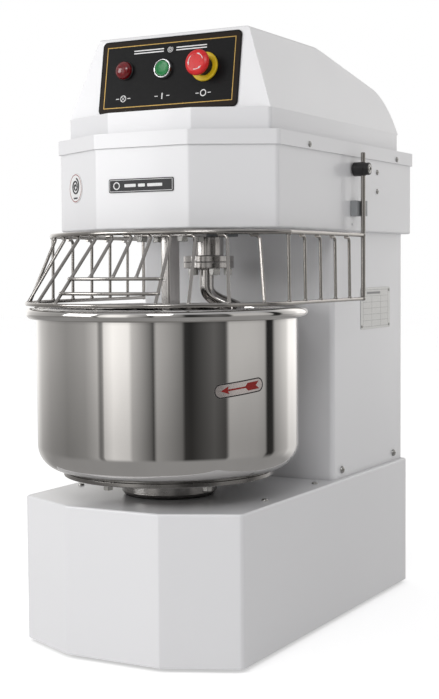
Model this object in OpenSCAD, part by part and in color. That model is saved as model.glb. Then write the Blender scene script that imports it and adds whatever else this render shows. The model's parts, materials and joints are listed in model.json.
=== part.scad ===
// Fixed-head spiral dough mixer: turning bowl, spiral hook, fixed breaker bar and a lifting wire guard.
// Frame: +Z up, front is -Y, origin on the floor under the middle of the bounding box.

/* [Base] */
// Width of the base across its sides
base_w = 380; // [340:1:420]
// Width of the flat front between the two chamfered corners
base_front_w = 160; // [120:1:200]
// Depth of each front chamfer
base_chamfer = 51; // [30:1:70]
// Depth of the base from front to rear
base_d = 695; // [690:1:740]
// Height of the base housing
base_h = 223; // [215:1:240]
// Height of the housing's lower edge above the floor
floor_gap = 6; // [4:1:9]

/* [Column] */
// Width of the column
column_w = 361; // [330:1:370]
// Distance from the base front to the column front
column_setback = 386; // [380:1:400]
// Top of the column, where the head casing rests
column_top_z = 636; // [630:1:645]

/* [Head] */
// Width of the head casing
head_w = 388; // [370:1:400]
// Flat front width of the head casing
head_front_w = 162; // [120:1:200]
// Depth of each chamfer on the head casing
head_chamfer = 67; // [40:1:80]
// Distance from the base front to the head front
head_setback = 93; // [85:1:100]
// Distance from the base front to the head rear
head_rear = 705; // [700:1:720]
// Lower edge of the lip of the top cover
lip_z = 758; // [755:1:762]
// Height of the lip
lip_h = 22; // [18:1:26]

/* [Top cover] */
// Half width of the cover's upright skirt
skirt_half_w = 179; // [170:1:185]
// Flat front width of the skirt
skirt_front_w = 146; // [120:1:170]
// Distance from the base front to the skirt front
skirt_setback = 116; // [110:1:125]
// Depth of each chamfer on the skirt
skirt_chamfer = 51; // [40:1:60]
// Top of the skirt, where the control face starts
skirt_top_z = 814; // [806:1:820]
// Highest point of the mixer
top_z = 939; // [930:1:950]
// Half width of the flat top
top_half_w = 133; // [120:1:150]
// How far the control face leans back over its height
face_lean = 20.3; // [10:0.1:30]
// Distance from the base front to the end of the flat top
flat_top_rear = 418; // [400:1:440]
// Distance from the base front to the cover's rear wall
cover_rear = 676; // [660:1:685]
// Slope of the rear part of the roof
roof_slope = 13; // [8:1:16]

/* [Bowl] */
// Distance from the base front to the bowl axis
bowl_setback = 167; // [160:1:172]
// Outer radius of the bowl wall
bowl_r = 202; // [190:1:204]
// Radius of the rounded edge between wall and floor of the bowl
bowl_corner_r = 39; // [25:1:50]
// Sheet thickness of the bowl
bowl_t = 2; // [1.5:0.5:3]
// Underside of the bowl
bowl_z = 271.5; // [270:0.5:274]
// Radius of the rolled rim's section
rim_r = 9; // [7:0.5:10]
// Height of the middle of the rolled rim
rim_z = 510.5; // [505:0.5:511]

/* [Tools in the bowl] */
// Distance from the base front to the hook axis
hook_setback = 297; // [290:1:300]
// Radius of the hook's spiral, to the middle of the rod
hook_coil_r = 52; // [40:1:54]
// Radius of the hook's rod
hook_rod_r = 11.5; // [9:0.5:12]
// Distance from the base front to the breaker bar
breaker_setback = 176; // [170:1:182]
// Width of the breaker bar across the mixer
breaker_w = 15; // [12:1:20]
// Depth of the breaker bar
breaker_d = 34; // [28:1:38]

/* [Guard] */
// Half width of the guard, to the middle of its wires
guard_half_w = 211; // [208:0.5:212]
// Height of the guard's top wire
guard_top_z = 629.5; // [626:0.5:630]
// Height of the guard's bottom wire
guard_low_z = 526; // [525:0.5:530]
// Distance from the base front to the corners of the guard
guard_corner = 160; // [155:1:165]
// Reach of the top wire in front of those corners
guard_top_reach = 117; // [100:1:140]
// Radius of the thin wires
wire_r = 2.5; // [2:0.25:3]
// Distance from the base front to the guard's pivot
pivot_setback = 438; // [430:1:445]
// Height of the guard's pivot
pivot_z = 737; // [730:1:740]

/* [Controls] */
// Width of the black control plate
plate_w = 247; // [230:1:255]
// Height of the black control plate
plate_h = 117; // [110:1:118]
// Travel of the start button
start_travel = 3; // [2:0.5:4]
// Travel of the stop button
stop_travel = 5; // [3:0.5:6]

/* [Drive] */
// Running radius of the motor pulley
motor_pulley_r = 28; // [24:1:32]
// Running radius of the input pulley on the layshaft
input_pulley_r = 80; // [60:1:82]
// Running radius of the layshaft pulley that drives the hook
hook_drive_r = 35; // [30:1:40]
// Running radius of the hook pulley
hook_pulley_r = 85; // [70:1:90]
// Running radius of the small pulley at the foot of the layshaft
layshaft_foot_r = 28; // [24:1:32]
// Running radius of the large countershaft pulley
counter_pulley_r = 100; // [80:1:104]
// Running radius of the small countershaft pulley
counter_small_r = 25; // [22:1:28]
// Running radius of the bowl pulley
bowl_pulley_r = 150; // [130:1:155]

/* [Hidden] */
$fn = 64;

// The deepest reach forward is the guard's bottom wire, the deepest rearward is the cover's lip.
lip_t = 3;
ring_top_r = 3.5;
ring_low_r = 3;
post_r = 3.75;
front_reach = guard_half_w + ring_low_r - guard_corner;
lip_rear = head_rear + lip_t;
front_y = -(lip_rear - front_reach) / 2;

sheet = 3;
eps = 0.01;
cut = 60;
base_z = floor_gap;
base_top_z = base_z + base_h;
floor_plate_z = 10;
floor_plate_t = 8;
floor_top_z = floor_plate_z + floor_plate_t;
column_front_y = front_y + column_setback;
rear_y = front_y + base_d;
column_rear_y = rear_y - 2;
head_front_y = front_y + head_setback;
head_rear_y = front_y + head_rear;
head_top_z = lip_z + lip_h - sheet;
bowl_y = front_y + bowl_setback;
hook_y = front_y + hook_setback;
breaker_y = front_y + breaker_setback;
pivot_y = front_y + pivot_setback;

// Drive layout: shaft positions in plan and the heights of the belts
layshaft_x = 95;
layshaft_y = front_y + 455;
counter_x = -40;
counter_y = front_y + 350;
motor_x = -60;
motor_y = front_y + 575;
drive_plate_z = 650;
drive_plate_t = 12;
drive_plate_top_z = drive_plate_z + drive_plate_t;
hook_belt_z = 714;
motor_belt_z = 741;
counter_belt_z = 135;
bowl_belt_z = 175;
belt_w = 16;
belt_t = 5;
belt_gap = 0.15;
pulley_w = belt_w + 8;
flange_rise = 4;
running_gap = 0.05;

spindle_r = 17.5;
bowl_spindle_r = 22.5;
layshaft_r = 12.5;
counter_r = 10;
motor_shaft_r = 9.5;

// ---------- outlines ----------

function unit(v) = v / norm(v);

// Polygon with each corner replaced by an arc of its own radius; a radius of 0 keeps the corner sharp.
function rounded(points, radii, steps = 6) = [
    for (i = [0:len(points) - 1])
        let (
            n = len(points),
            here = points[i],
            to_last = unit(points[(i + n - 1) % n] - here),
            to_next = unit(points[(i + 1) % n] - here),
            half = acos(to_last * to_next) / 2,
            r = radii[i],
            centre = here + unit(to_last + to_next) * r / sin(half),
            start = here + to_last * r / tan(half),
            turn = cross(start - centre, here - centre) > 0 ? 1 : -1,
            sweep = turn * (180 - 2 * half),
            first = atan2(start[1] - centre[1], start[0] - centre[0])
        )
        if (r == 0) here
        else each [for (k = [0:steps])
            centre + r * [cos(first + sweep * k / steps), sin(first + sweep * k / steps)]]
];

// Footprint with two chamfered front corners, drawn from front_edge to rear_edge and inset all round.
function footprint(half_w, half_front, chamfer, front_edge, rear_edge, inset) =
    let (
        slant = atan2(chamfer, half_w - half_front),
        side_y = front_edge + chamfer + inset * (1 - sin(slant)) / cos(slant),
        front_x = half_front - inset * (1 - cos(slant)) / sin(slant),
        side_x = half_w - inset
    )
    [[-side_x, rear_edge - inset], [-side_x, side_y], [-front_x, front_edge + inset],
     [front_x, front_edge + inset], [side_x, side_y], [side_x, rear_edge - inset]];

module footprint_block(half_w, half_front, chamfer, front_edge, rear_edge, inset, z, h, r = 9) {
    corner_r = max(r - max(inset, 0), 2);
    points = footprint(half_w, half_front, chamfer, front_edge, rear_edge, inset);
    translate([0, 0, z])
        linear_extrude(h)
            polygon(rounded(points, [for (p = points) corner_r], 4));
}

module base_block(inset, z, h) {
    footprint_block(base_w / 2, base_front_w / 2, base_chamfer, front_y, rear_y, inset, z, h);
}

module head_block(inset, z, h) {
    footprint_block(head_w / 2, head_front_w / 2, head_chamfer, head_front_y, head_rear_y, inset, z, h);
}

module skirt_block(inset, z, h) {
    footprint_block(skirt_half_w, skirt_front_w / 2, skirt_chamfer, front_y + skirt_setback,
        front_y + cover_rear, inset, z, h, 7);
}

// ---------- small shared shapes ----------

module ring(outer_r, inner_r, h, z = 0) {
    translate([0, 0, z])
        difference() {
            cylinder(r = outer_r, h = h);
            translate([0, 0, -eps]) cylinder(r = inner_r, h = h + 2 * eps);
        }
}

// Box given by its middle in X and Y and its lower face in Z
module block(size, at) {
    translate([at[0] - size[0] / 2, at[1] - size[1] / 2, at[2]]) cube(size);
}

module hex_head(across, h) {
    cylinder(d = across / cos(30), h = h, $fn = 6);
}

// Straight round bar between two points
module bar(from, to, r) {
    along = to - from;
    run = norm([along[0], along[1]]);
    translate(from)
        rotate([0, atan2(run, along[2]), atan2(along[1], along[0])])
            cylinder(r = r, h = norm(along), $fn = 24);
}

// Pan-head screw whose shank points along +Z from the underside of its head
module pan_screw(head_r, head_h, shank_r, shank_l) {
    translate([0, 0, -head_h]) cylinder(r = head_r, h = head_h, $fn = 32);
    cylinder(r = shank_r, h = shank_l, $fn = 24);
}

// Places a screw on a side wall: side is 1 for the right and -1 for the left, pointing inwards
module on_side(side, x, y, z) {
    translate([side * x, y, z]) rotate([0, -90 * side, 0]) children();
}

// Flanged flat-belt pulley around the Z axis, with a web and a hub
module pulley(run_r, bore_r, z, hub_r) {
    translate([0, 0, z - pulley_w / 2])
        difference() {
            union() {
                cylinder(r = run_r, h = pulley_w, $fn = 96);
                cylinder(r = run_r + flange_rise, h = 3.5, $fn = 96);
                translate([0, 0, pulley_w - 3.5]) cylinder(r = run_r + flange_rise, h = 3.5, $fn = 96);
            }
            translate([0, 0, -eps]) cylinder(r = bore_r, h = pulley_w + 2 * eps);
            if (run_r > 60)
                for (face_z = [-eps, pulley_w / 2 + 3])
                    translate([0, 0, face_z])
                        ring(run_r - 8, hub_r, pulley_w / 2 - 3 + eps);
        }
}

// Open belt around two pulleys that share a plane
module belt(at_a, r_a, at_b, r_b, z) {
    translate([0, 0, z - belt_w / 2])
        linear_extrude(belt_w)
            difference() {
                hull() {
                    translate(at_a) circle(r = r_a + belt_t, $fn = 96);
                    translate(at_b) circle(r = r_b + belt_t, $fn = 96);
                }
                hull() {
                    translate(at_a) circle(r = r_a + belt_gap, $fn = 96);
                    translate(at_b) circle(r = r_b + belt_gap, $fn = 96);
                }
            }
}

// Deep-groove bearing drawn as its two rings and the shield between them
module bearing(outer_r, inner_r, w, z) {
    step = (outer_r - inner_r) * 0.28;
    difference() {
        ring(outer_r, inner_r, w, z);
        for (face_z = [z - eps, z + w - 1.2 + eps])
            ring(outer_r - step, inner_r + step, 1.2, face_z);
    }
}

// ---------- base ----------

drive_opening = [300, 270];
foot_points = [for (x = [-140, 140], y = [front_y + 85, rear_y - 55]) [x, y]];
base_screw_points = [for (x = [-166, 166], y = [front_y + 167, front_y + 345]) [x, y]];

module base_housing() {
    color("whitesmoke")
        difference() {
            base_block(0, base_z, base_h);
            base_block(sheet, base_z - eps, base_h - sheet + eps);
            translate([0, bowl_y, base_top_z - cut / 2]) cylinder(r = 48, h = cut);
            block([drive_opening[0], drive_opening[1], cut],
                [0, front_y + 540, base_top_z - cut / 2]);
            for (p = base_screw_points)
                translate([p[0], p[1], base_top_z - cut / 2]) cylinder(r = 3, h = cut, $fn = 24);
            translate([120, rear_y, 120]) rotate([90, 0, 0]) cylinder(r = 8, h = cut, center = true);
        }
}

module base_floor_plate() {
    color("dimgray")
        difference() {
            base_block(sheet, floor_plate_z, floor_plate_t);
            for (p = foot_points)
                translate([p[0], p[1], 0]) cylinder(r = 5.25, h = cut);
        }
}

module feet() {
    color("#222222")
        for (p = foot_points)
            translate([p[0], p[1], 0])
                difference() {
                    cylinder(r1 = 24, r2 = 20, h = floor_plate_z);
                    translate([0, 0, 4]) cylinder(r = 5, h = cut, $fn = 32);
                }
}

module foot_studs() {
    color("silver")
        for (p = foot_points)
            translate([p[0], p[1], 4]) {
                cylinder(r = 5, h = 32, $fn = 32);
                translate([0, 0, floor_top_z - 4]) hex_head(17, 8);
            }
}

module base_top_screws() {
    color("silver")
        for (p = base_screw_points)
            translate([p[0], p[1], base_top_z]) mirror([0, 0, 1]) pan_screw(5, 3, 3, 12);
}

module cable_gland() {
    color("#1c1c1c")
        translate([120, rear_y - sheet, 120])
            rotate([-90, 0, 0])
                difference() {
                    union() {
                        translate([0, 0, -7]) hex_head(24, 7);
                        cylinder(r = 8, h = sheet + 12);
                        translate([0, 0, sheet]) hex_head(22, 6);
                        translate([0, 0, sheet + 6]) cylinder(r1 = 9.5, r2 = 7.5, h = 6.5);
                    }
                    translate([0, 0, -cut / 2]) cylinder(r = 4.5, h = cut, $fn = 32);
                }
}

// ---------- column ----------

back_opening = [296, 360];
back_cover_size = [326, 390];
back_mid_z = (base_top_z + column_top_z) / 2;
back_screw_points = [for (x = [-155, 155], z = [-180, -60, 60, 180]) [x, back_mid_z + z]];
column_screw_points = [for (side = [-1, 1], y = [front_y + 420, front_y + 649]) [side, y]];
column_screw_z = base_top_z + 14;

module column_prism(inset, z, h) {
    half_w = column_w / 2 - inset;
    front_edge = column_front_y + inset;
    rear_edge = column_rear_y - inset;
    points = [[-half_w, rear_edge], [-half_w, front_edge], [half_w, front_edge], [half_w, rear_edge]];
    corner_r = max(8 - inset, 2);
    translate([0, 0, z]) linear_extrude(h) polygon(rounded(points, [for (p = points) corner_r], 4));
}

module column_shell() {
    h = column_top_z - base_top_z;
    color("whitesmoke")
        difference() {
            column_prism(0, base_top_z, h);
            column_prism(sheet, base_top_z - eps, h + 2 * eps);
            block([back_opening[0], cut, back_opening[1]],
                [0, column_rear_y, back_mid_z - back_opening[1] / 2]);
            for (p = back_screw_points)
                translate([p[0], column_rear_y, p[1]])
                    rotate([90, 0, 0]) cylinder(r = 2.5, h = cut, center = true, $fn = 24);
            for (p = column_screw_points)
                on_side(p[0], column_w / 2, p[1], column_screw_z)
                    cylinder(r = 3, h = cut, center = true, $fn = 24);
        }
}

module column_back_cover() {
    slot_rows = 9;
    color("gainsboro")
        difference() {
            block([back_cover_size[0], 2, back_cover_size[1]],
                [0, column_rear_y + 1, back_mid_z - back_cover_size[1] / 2]);
            for (row = [0:slot_rows - 1], x = [-60, 60])
                block([90, cut, 5], [x, column_rear_y, back_mid_z - 60 + row * 14]);
            for (p = back_screw_points)
                translate([p[0], column_rear_y, p[1]])
                    rotate([90, 0, 0]) cylinder(r = 2.5, h = cut, center = true, $fn = 24);
        }
}

module back_cover_screws() {
    color("silver")
        for (p = back_screw_points)
            translate([p[0], column_rear_y + 2, p[1]])
                rotate([90, 0, 0]) pan_screw(4.5, 2.5, 2.5, 10);
}

module column_screws() {
    color("silver")
        for (p = column_screw_points)
            on_side(p[0], column_w / 2, p[1], column_screw_z) pan_screw(6, 4, 3, 12);
}

module electrical_box() {
    wall_x = -column_w / 2 + sheet;
    color("lightgray")
        difference() {
            translate([wall_x, front_y + 410, 300]) cube([55, 120, 170]);
            translate([wall_x + 3, front_y + 413, 303]) cube([49, 114, 164]);
            translate([wall_x + 27, front_y + 470, 290]) cylinder(r = 10, h = 20);
        }
}

// ---------- head ----------

head_screw_points = [for (side = [-1, 1], z = [705.5, 738]) [side, z]];
head_screw_y = front_y + 541;
spacer_points = [[-150, 190], [150, 190], [-150, 385], [150, 385], [-172, 660], [172, 660]];
breaker_bolt_dx = 36;
breaker_bolt_dy = 24;
breaker_bolt_points = [for (x = [-breaker_bolt_dx, breaker_bolt_dx],
    y = [breaker_y - breaker_bolt_dy, breaker_y + breaker_bolt_dy]) [x, y]];
hook_housing_r = 48;
pin_r = 5;

module head_casing() {
    color("whitesmoke")
        difference() {
            head_block(0, column_top_z, head_top_z - column_top_z);
            head_block(sheet, column_top_z + sheet, head_top_z);
            block([drive_opening[0], 270, cut], [0, front_y + 540, column_top_z - cut / 2]);
            translate([0, hook_y, column_top_z - eps]) cylinder(r = hook_housing_r, h = cut);
            for (p = breaker_bolt_points)
                translate([p[0], p[1], column_top_z - eps]) cylinder(r = 5.25, h = cut, $fn = 32);
            for (side = [-1, 1]) {
                on_side(side, head_w / 2, pivot_y, pivot_z)
                    cylinder(r = pin_r, h = cut, center = true, $fn = 32);
                for (z = [705.5, 738])
                    on_side(side, head_w / 2, head_screw_y, z)
                        cylinder(r = 2.5, h = cut, center = true, $fn = 24);
                for (y = cover_screw_y)
                    on_side(side, head_w / 2, y, cover_screw_z)
                        cylinder(r = 2, h = cut, center = true, $fn = 24);
            }
            on_side(1, head_w / 2, front_y + 433, 647) cylinder(r = 2.2, h = cut, center = true, $fn = 24);
        }
}

module drive_plate() {
    color("slategray")
        difference() {
            translate([-185, front_y + 165, drive_plate_z]) cube([370, 525, drive_plate_t]);
            translate([0, hook_y, drive_plate_z - eps]) cylinder(r = hook_housing_r, h = cut);
            translate([layshaft_x, layshaft_y, drive_plate_z - eps]) cylinder(r = layshaft_r + 4, h = cut);
            translate([motor_x, motor_y, drive_plate_z - eps]) cylinder(r = motor_shaft_r + 8, h = cut);
            for (p = breaker_bolt_points)
                if (p[1] > front_y + 165)
                    translate([p[0], p[1], drive_plate_z - eps]) cylinder(r = 5, h = cut, $fn = 32);
        }
}

module plate_spacers() {
    h = drive_plate_z - column_top_z - sheet;
    color("gray")
        for (p = spacer_points)
            translate([p[0], front_y + p[1], column_top_z + sheet]) cylinder(r = 10, h = h, $fn = 32);
}

module nameplate() {
    points = [[-56.5, 691], [56.5, 691], [56.5, 711.5], [-56.5, 711.5]];
    color("silver")
        translate([0, head_front_y, 0])
            rotate([90, 0, 0])
                linear_extrude(1.5) polygon(rounded(points, [2, 2, 2, 2], 3));
}

module round_badge() {
    slant = atan2(head_chamfer, (head_w - head_front_w) / 2);
    badge_x = -142;
    badge_y = head_front_y + (-badge_x - head_front_w / 2) * tan(slant);
    color("lightgray")
        translate([badge_x, badge_y, 703])
            rotate([0, 0, -slant])
                translate([0, -running_gap, 0])
                    rotate([90, 0, 0]) cylinder(r = 23, h = 1);
}

// ---------- top cover ----------

cover_screw_y = [front_y + 263, front_y + 624];
cover_screw_z = lip_z + 7;
face_angle = atan2(face_lean, top_z - skirt_top_z);
face_y = front_y + skirt_setback + skirt_chamfer;
cover_t = 2.5;

// Roof seen from the side: leaning front, flat top, slope and a rounded rear edge
module roof_from_side(inset, floor_z) {
    top = top_z - inset;
    rear = cover_rear + front_y - inset;
    flat_end = front_y + flat_top_rear;
    points = [[face_y + inset, floor_z], [face_y + face_lean + inset, top], [flat_end, top],
        [rear, top - (rear - flat_end) * tan(roof_slope)], [rear, floor_z]];
    rotate([90, 0, 90])
        linear_extrude(2 * skirt_half_w, center = true)
            polygon(rounded(points, [0, 4 - inset / 2, 40, 64 - inset, 0], 8));
}

// Roof seen from the front: side walls that lean inwards
module roof_from_front(inset, floor_z) {
    top = top_z - inset;
    points = [[-skirt_half_w + inset, floor_z], [skirt_half_w - inset, floor_z],
        [top_half_w - inset, top], [-top_half_w + inset, top]];
    translate([0, front_y + cover_rear, 0])
        rotate([90, 0, 0])
            linear_extrude(cover_rear) polygon(rounded(points, [0, 0, 8 - inset, 8 - inset], 4));
}

module roof(inset, floor_z) {
    intersection() {
        roof_from_side(inset, floor_z);
        roof_from_front(inset, floor_z);
    }
}

// Moves to the control face: X across, Y up the face, Z out of it
module on_face(x = 0, up = 0) {
    translate([0, face_y, skirt_top_z])
        rotate([90 - face_angle, 0, 0])
            translate([x, up, 0]) children();
}

module top_cover() {
    color("white")
        difference() {
            union() {
                head_block(-lip_t, lip_z, lip_h);
                skirt_block(0, lip_z + 1, skirt_top_z - lip_z - 1);
                roof(0, skirt_top_z - 1);
            }
            head_block(0, lip_z - eps, lip_h - sheet + eps);
            skirt_block(cover_t, lip_z, skirt_top_z - cover_t - lip_z);
            roof(cover_t, skirt_top_z - cover_t - 1);
            on_face(0, plate_h / 2 + 4) translate([-105, -38, -cut / 2]) cube([210, 80, cut]);
            for (side = [-1, 1], y = cover_screw_y)
                on_side(side, head_w / 2 + lip_t, y, cover_screw_z)
                    cylinder(r = 2, h = 20, center = true, $fn = 24);
        }
}

module head_screws() {
    color("silver") {
        for (p = head_screw_points)
            on_side(p[0], head_w / 2, head_screw_y, p[1]) pan_screw(4.5, 2, 2.5, 12);
        for (side = [-1, 1], y = cover_screw_y)
            on_side(side, head_w / 2 + lip_t, y, cover_screw_z) pan_screw(4.5, 2.2, 2, 9);
    }
}

// ---------- controls ----------

plate_t = 2;
plate_up = 62;
lamp_at = [-79, 71.5];
start_at = [-8.5, 69.3];
stop_at = [64, 67.5];
control_hole_r = 11;
start_cap_r = 10.3;
stem_r = 5;

module control_plate() {
    points = [[-plate_w / 2, -plate_h / 2], [plate_w / 2, -plate_h / 2],
        [plate_w / 2, plate_h / 2], [-plate_w / 2, plate_h / 2]];
    color("#141414")
        difference() {
            on_face(0, plate_up) linear_extrude(plate_t) polygon(rounded(points, [7, 7, 7, 7], 5));
            for (at = [lamp_at, start_at, stop_at])
                on_face(at[0], at[1]) translate([0, 0, -10]) cylinder(r = control_hole_r, h = 20);
        }
}

module lamp_holder() {
    color("#333333")
        on_face(lamp_at[0], lamp_at[1])
            difference() {
                union() {
                    translate([0, 0, plate_t]) cylinder(r = 14.5, h = 3);
                    translate([0, 0, -32]) cylinder(r = control_hole_r, h = 32 + plate_t);
                }
                translate([0, 0, -28]) cylinder(r = 9, h = cut);
            }
}

module lamp_lens() {
    color("darkred")
        on_face(lamp_at[0], lamp_at[1])
            translate([0, 0, plate_t + 3])
                difference() {
                    union() {
                        cylinder(r = 13, h = 3);
                        translate([0, 0, 3])
                            intersection() {
                                scale_dome(13);
                                cylinder(r = 13, h = 12);
                            }
                    }
                    translate([0, 0, -eps]) cylinder(r = 9, h = 5);
                }
}

// Shallow dome: the cap of a sphere whose cut circle has the given radius
module scale_dome(cap_r) {
    ball_r = cap_r * 1.25;
    translate([0, 0, -sqrt(ball_r * ball_r - cap_r * cap_r)]) sphere(r = ball_r);
}

module start_bezel() {
    color("silver")
        on_face(start_at[0], start_at[1])
            difference() {
                union() {
                    translate([0, 0, plate_t]) cylinder(r = 16, h = 3);
                    translate([0, 0, plate_t + 3]) cylinder(r1 = 16, r2 = 13.5, h = 4);
                    translate([0, 0, -30]) cylinder(r = control_hole_r, h = 30 + plate_t);
                }
                translate([0, 0, plate_t - 1]) cylinder(r = start_cap_r + running_gap, h = cut);
                translate([0, 0, -cut]) cylinder(r = stem_r + running_gap, h = cut + 10);
            }
}

module start_button() {
    color("limegreen")
        on_face(start_at[0], start_at[1]) {
            translate([0, 0, plate_t - 1 + start_travel + 0.5]) cylinder(r = start_cap_r, h = 5);
            translate([0, 0, -26 + start_travel]) cylinder(r = stem_r, h = 30);
        }
}

module stop_base() {
    color("gold")
        on_face(stop_at[0], stop_at[1])
            difference() {
                union() {
                    translate([0, 0, plate_t]) cylinder(r = 22.5, h = 4);
                    translate([0, 0, plate_t + 4]) cylinder(r1 = 15, r2 = 13, h = 8);
                    translate([0, 0, -30]) cylinder(r = control_hole_r, h = 30 + plate_t);
                }
                translate([0, 0, -cut]) cylinder(r = stem_r + running_gap, h = 2 * cut);
            }
}

module stop_button() {
    cap_z = plate_t + 12 + stop_travel + 1;
    color("red")
        on_face(stop_at[0], stop_at[1]) {
            translate([0, 0, cap_z]) cylinder(r1 = 17, r2 = 20, h = 5);
            translate([0, 0, cap_z + 5]) cylinder(r = 20, h = 3);
            translate([0, 0, cap_z + 8]) cylinder(r1 = 20, r2 = 16, h = 4);
            translate([0, 0, -24 + stop_travel]) cylinder(r = stem_r, h = cap_z + 24 - stop_travel + 1);
        }
}

module contact_blocks() {
    color("dimgray")
        for (at = [start_at, stop_at])
            on_face(at[0], at[1])
                difference() {
                    translate([-15, -20, -62]) cube([30, 40, 32]);
                    translate([0, 0, -40]) cylinder(r = stem_r + 1, h = 20);
                }
}

// ---------- plates ----------

rating_y = front_y + 566;
rating_z = 506.5;
rating_size = [132, 71];

module rating_plate() {
    color("silver")
        difference() {
            translate([column_w / 2, rating_y - rating_size[0] / 2, rating_z - rating_size[1] / 2])
                cube([0.8, rating_size[0], rating_size[1]]);
            rivet_places() cylinder(r = 1.5, h = 20, center = true, $fn = 24);
        }
}

module rivet_places() {
    for (y = [-1, 1], z = [-1, 1])
        on_side(1, column_w / 2 + 0.8, rating_y + y * (rating_size[0] / 2 - 5),
            rating_z + z * (rating_size[1] / 2 - 5)) children();
}

module rating_plate_rivets() {
    color("silver")
        rivet_places() {
            translate([0, 0, -1]) cylinder(r = 2.6, h = 1, $fn = 24);
            cylinder(r = 1.5, h = 0.8, $fn = 24);
        }
}

// ---------- guard ----------

hub_r = 11.5;
hub_inner_x = 196;
hub_outer_x = 223;
// Places along each arc where the front wires stand, from the left corner (-1) to the right corner (1)
front_wires = [-0.72, -0.53, -0.36, -0.2, -0.07, 0.06, 0.18, 0.3, 0.44, 0.62, 0.81];
window_first = 3;
window_last = 7;
window_top = 0.64;
window_low = 0.84;
side_wire_count = 4;
weld_bead = 0.5;
guard_corner_y = front_y + guard_corner;

// The front wires follow arcs that share both corners; reach grows from the top wire to the bottom wire.
function reach_at(part) = guard_top_reach + (guard_half_w - guard_top_reach) * part;
function arc_r(reach) = (guard_half_w * guard_half_w + reach * reach) / (2 * reach);
function arc_half(reach) = atan2(guard_half_w, arc_r(reach) - reach);
function arc_centre_y(reach) = guard_corner_y - reach + arc_r(reach);
function height_at(part) = guard_top_z + (guard_low_z - guard_top_z) * part;
function arc_point(along, part) =
    let (reach = reach_at(part), turn = arc_half(reach) * along)
    [arc_r(reach) * sin(turn), arc_centre_y(reach) - arc_r(reach) * cos(turn), height_at(part)];
function wire_point(along, part) =
    arc_point(along, 0) + (arc_point(along, 1) - arc_point(along, 0)) * part;

module front_arc(part, r, first, last) {
    reach = reach_at(part);
    half = arc_half(reach);
    translate([0, arc_centre_y(reach), height_at(part)])
        rotate([0, 0, -90 + half * first])
            rotate_extrude(angle = half * (last - first), $fn = 128)
                translate([arc_r(reach), 0]) circle(r = r, $fn = 24);
}

// Middle of the circle through three points of one level
function circle_middle(a, b, c) =
    let (
        d = 2 * (a[0] * (b[1] - c[1]) + b[0] * (c[1] - a[1]) + c[0] * (a[1] - b[1])),
        aa = a[0] * a[0] + a[1] * a[1],
        bb = b[0] * b[0] + b[1] * b[1],
        cc = c[0] * c[0] + c[1] * c[1]
    )
    [(aa * (b[1] - c[1]) + bb * (c[1] - a[1]) + cc * (a[1] - b[1])) / d,
     (aa * (c[0] - b[0]) + bb * (a[0] - c[0]) + cc * (b[0] - a[0])) / d];

// Place along the arcs of the wire with this number, which may lie between two wires
function along_of(number) =
    let (low = floor(number), high = ceil(number))
    (front_wires[low] + front_wires[high]) / 2;

// Bar across the filling window from one wire number to another, bent to follow the wires it joins
module window_bar(part, r, from_wire, to_wire) {
    first = along_of(from_wire);
    last = along_of(to_wire);
    start = wire_point(first, part);
    end = wire_point(last, part);
    middle = circle_middle(start, wire_point((first + last) / 2, part), end);
    start_turn = atan2(start[1] - middle[1], start[0] - middle[0]);
    end_turn = atan2(end[1] - middle[1], end[0] - middle[0]);
    translate([middle[0], middle[1], height_at(part)])
        rotate([0, 0, start_turn])
            rotate_extrude(angle = end_turn - start_turn, $fn = 128)
                translate([norm([start[0] - middle[0], start[1] - middle[1]]), 0])
                    circle(r = r, $fn = 24);
}

// Both rings with their straight sides; grow widens them for trimming the wires that meet them
module guard_rings(grow = 0) {
    front_arc(0, ring_top_r + grow, -1, 1);
    front_arc(1, ring_low_r + grow, -1, 1);
    for (side = [-1, 1]) {
        x = side * guard_half_w;
        translate([x, guard_corner_y, guard_top_z]) sphere(r = ring_top_r + weld_bead + grow, $fn = 32);
        translate([x, guard_corner_y, guard_low_z]) sphere(r = ring_low_r + weld_bead + grow, $fn = 32);
        bar([x, guard_corner_y, guard_top_z], [x, pivot_y, guard_top_z], ring_top_r + grow);
        bar([x, guard_corner_y, guard_low_z], [x, pivot_y, guard_low_z], ring_low_r + grow);
    }
}

module guard_cage() {
    color("silver") {
        guard_rings();
        for (x = [-guard_half_w, guard_half_w]) {
            bar([x, guard_corner_y, guard_low_z], [x, guard_corner_y, guard_top_z], wire_r);
            bar([x, pivot_y, guard_low_z - ring_low_r], [x, pivot_y, pivot_z + 27], post_r);
        }
    }
}

// Front wire by its number; the wires inside the filling window stop at the window's upper bar
module front_wire(i, r = wire_r) {
    in_window = i > window_first && i < window_last;
    bar(wire_point(front_wires[i], 0), wire_point(front_wires[i], in_window ? window_top : 1), r);
}

// Each wire is a separate bar that ends against the ring or the wire it is welded to
module guard_wires() {
    color("silver") {
        difference() {
            union() {
                for (x = [-guard_half_w, guard_half_w], k = [1:side_wire_count]) {
                    y = guard_corner_y + (pivot_y - guard_corner_y) * k / (side_wire_count + 1);
                    bar([x, y, guard_low_z], [x, y, guard_top_z], wire_r);
                }
                for (i = [0:len(front_wires) - 1]) front_wire(i);
            }
            guard_rings(running_gap);
            window_bar(window_top, wire_r + running_gap, window_first + 0.5, window_last - 0.5);
        }
        difference() {
            for (part = [window_top, window_low]) window_bar(part, wire_r, window_first, window_last);
            for (i = [window_first, window_last]) front_wire(i, wire_r + running_gap);
        }
    }
}

module guard_hubs() {
    color("#181818")
        for (side = [-1, 1])
            difference() {
                on_side(side, hub_outer_x, pivot_y, pivot_z)
                    cylinder(r = hub_r, h = hub_outer_x - hub_inner_x);
                on_side(side, 205.5, pivot_y, pivot_z) cylinder(r = pin_r + running_gap, h = cut, $fn = 48);
                translate([side * guard_half_w, pivot_y, pivot_z - cut])
                    cylinder(r = post_r, h = 2 * cut, $fn = 24);
            }
}

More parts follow.
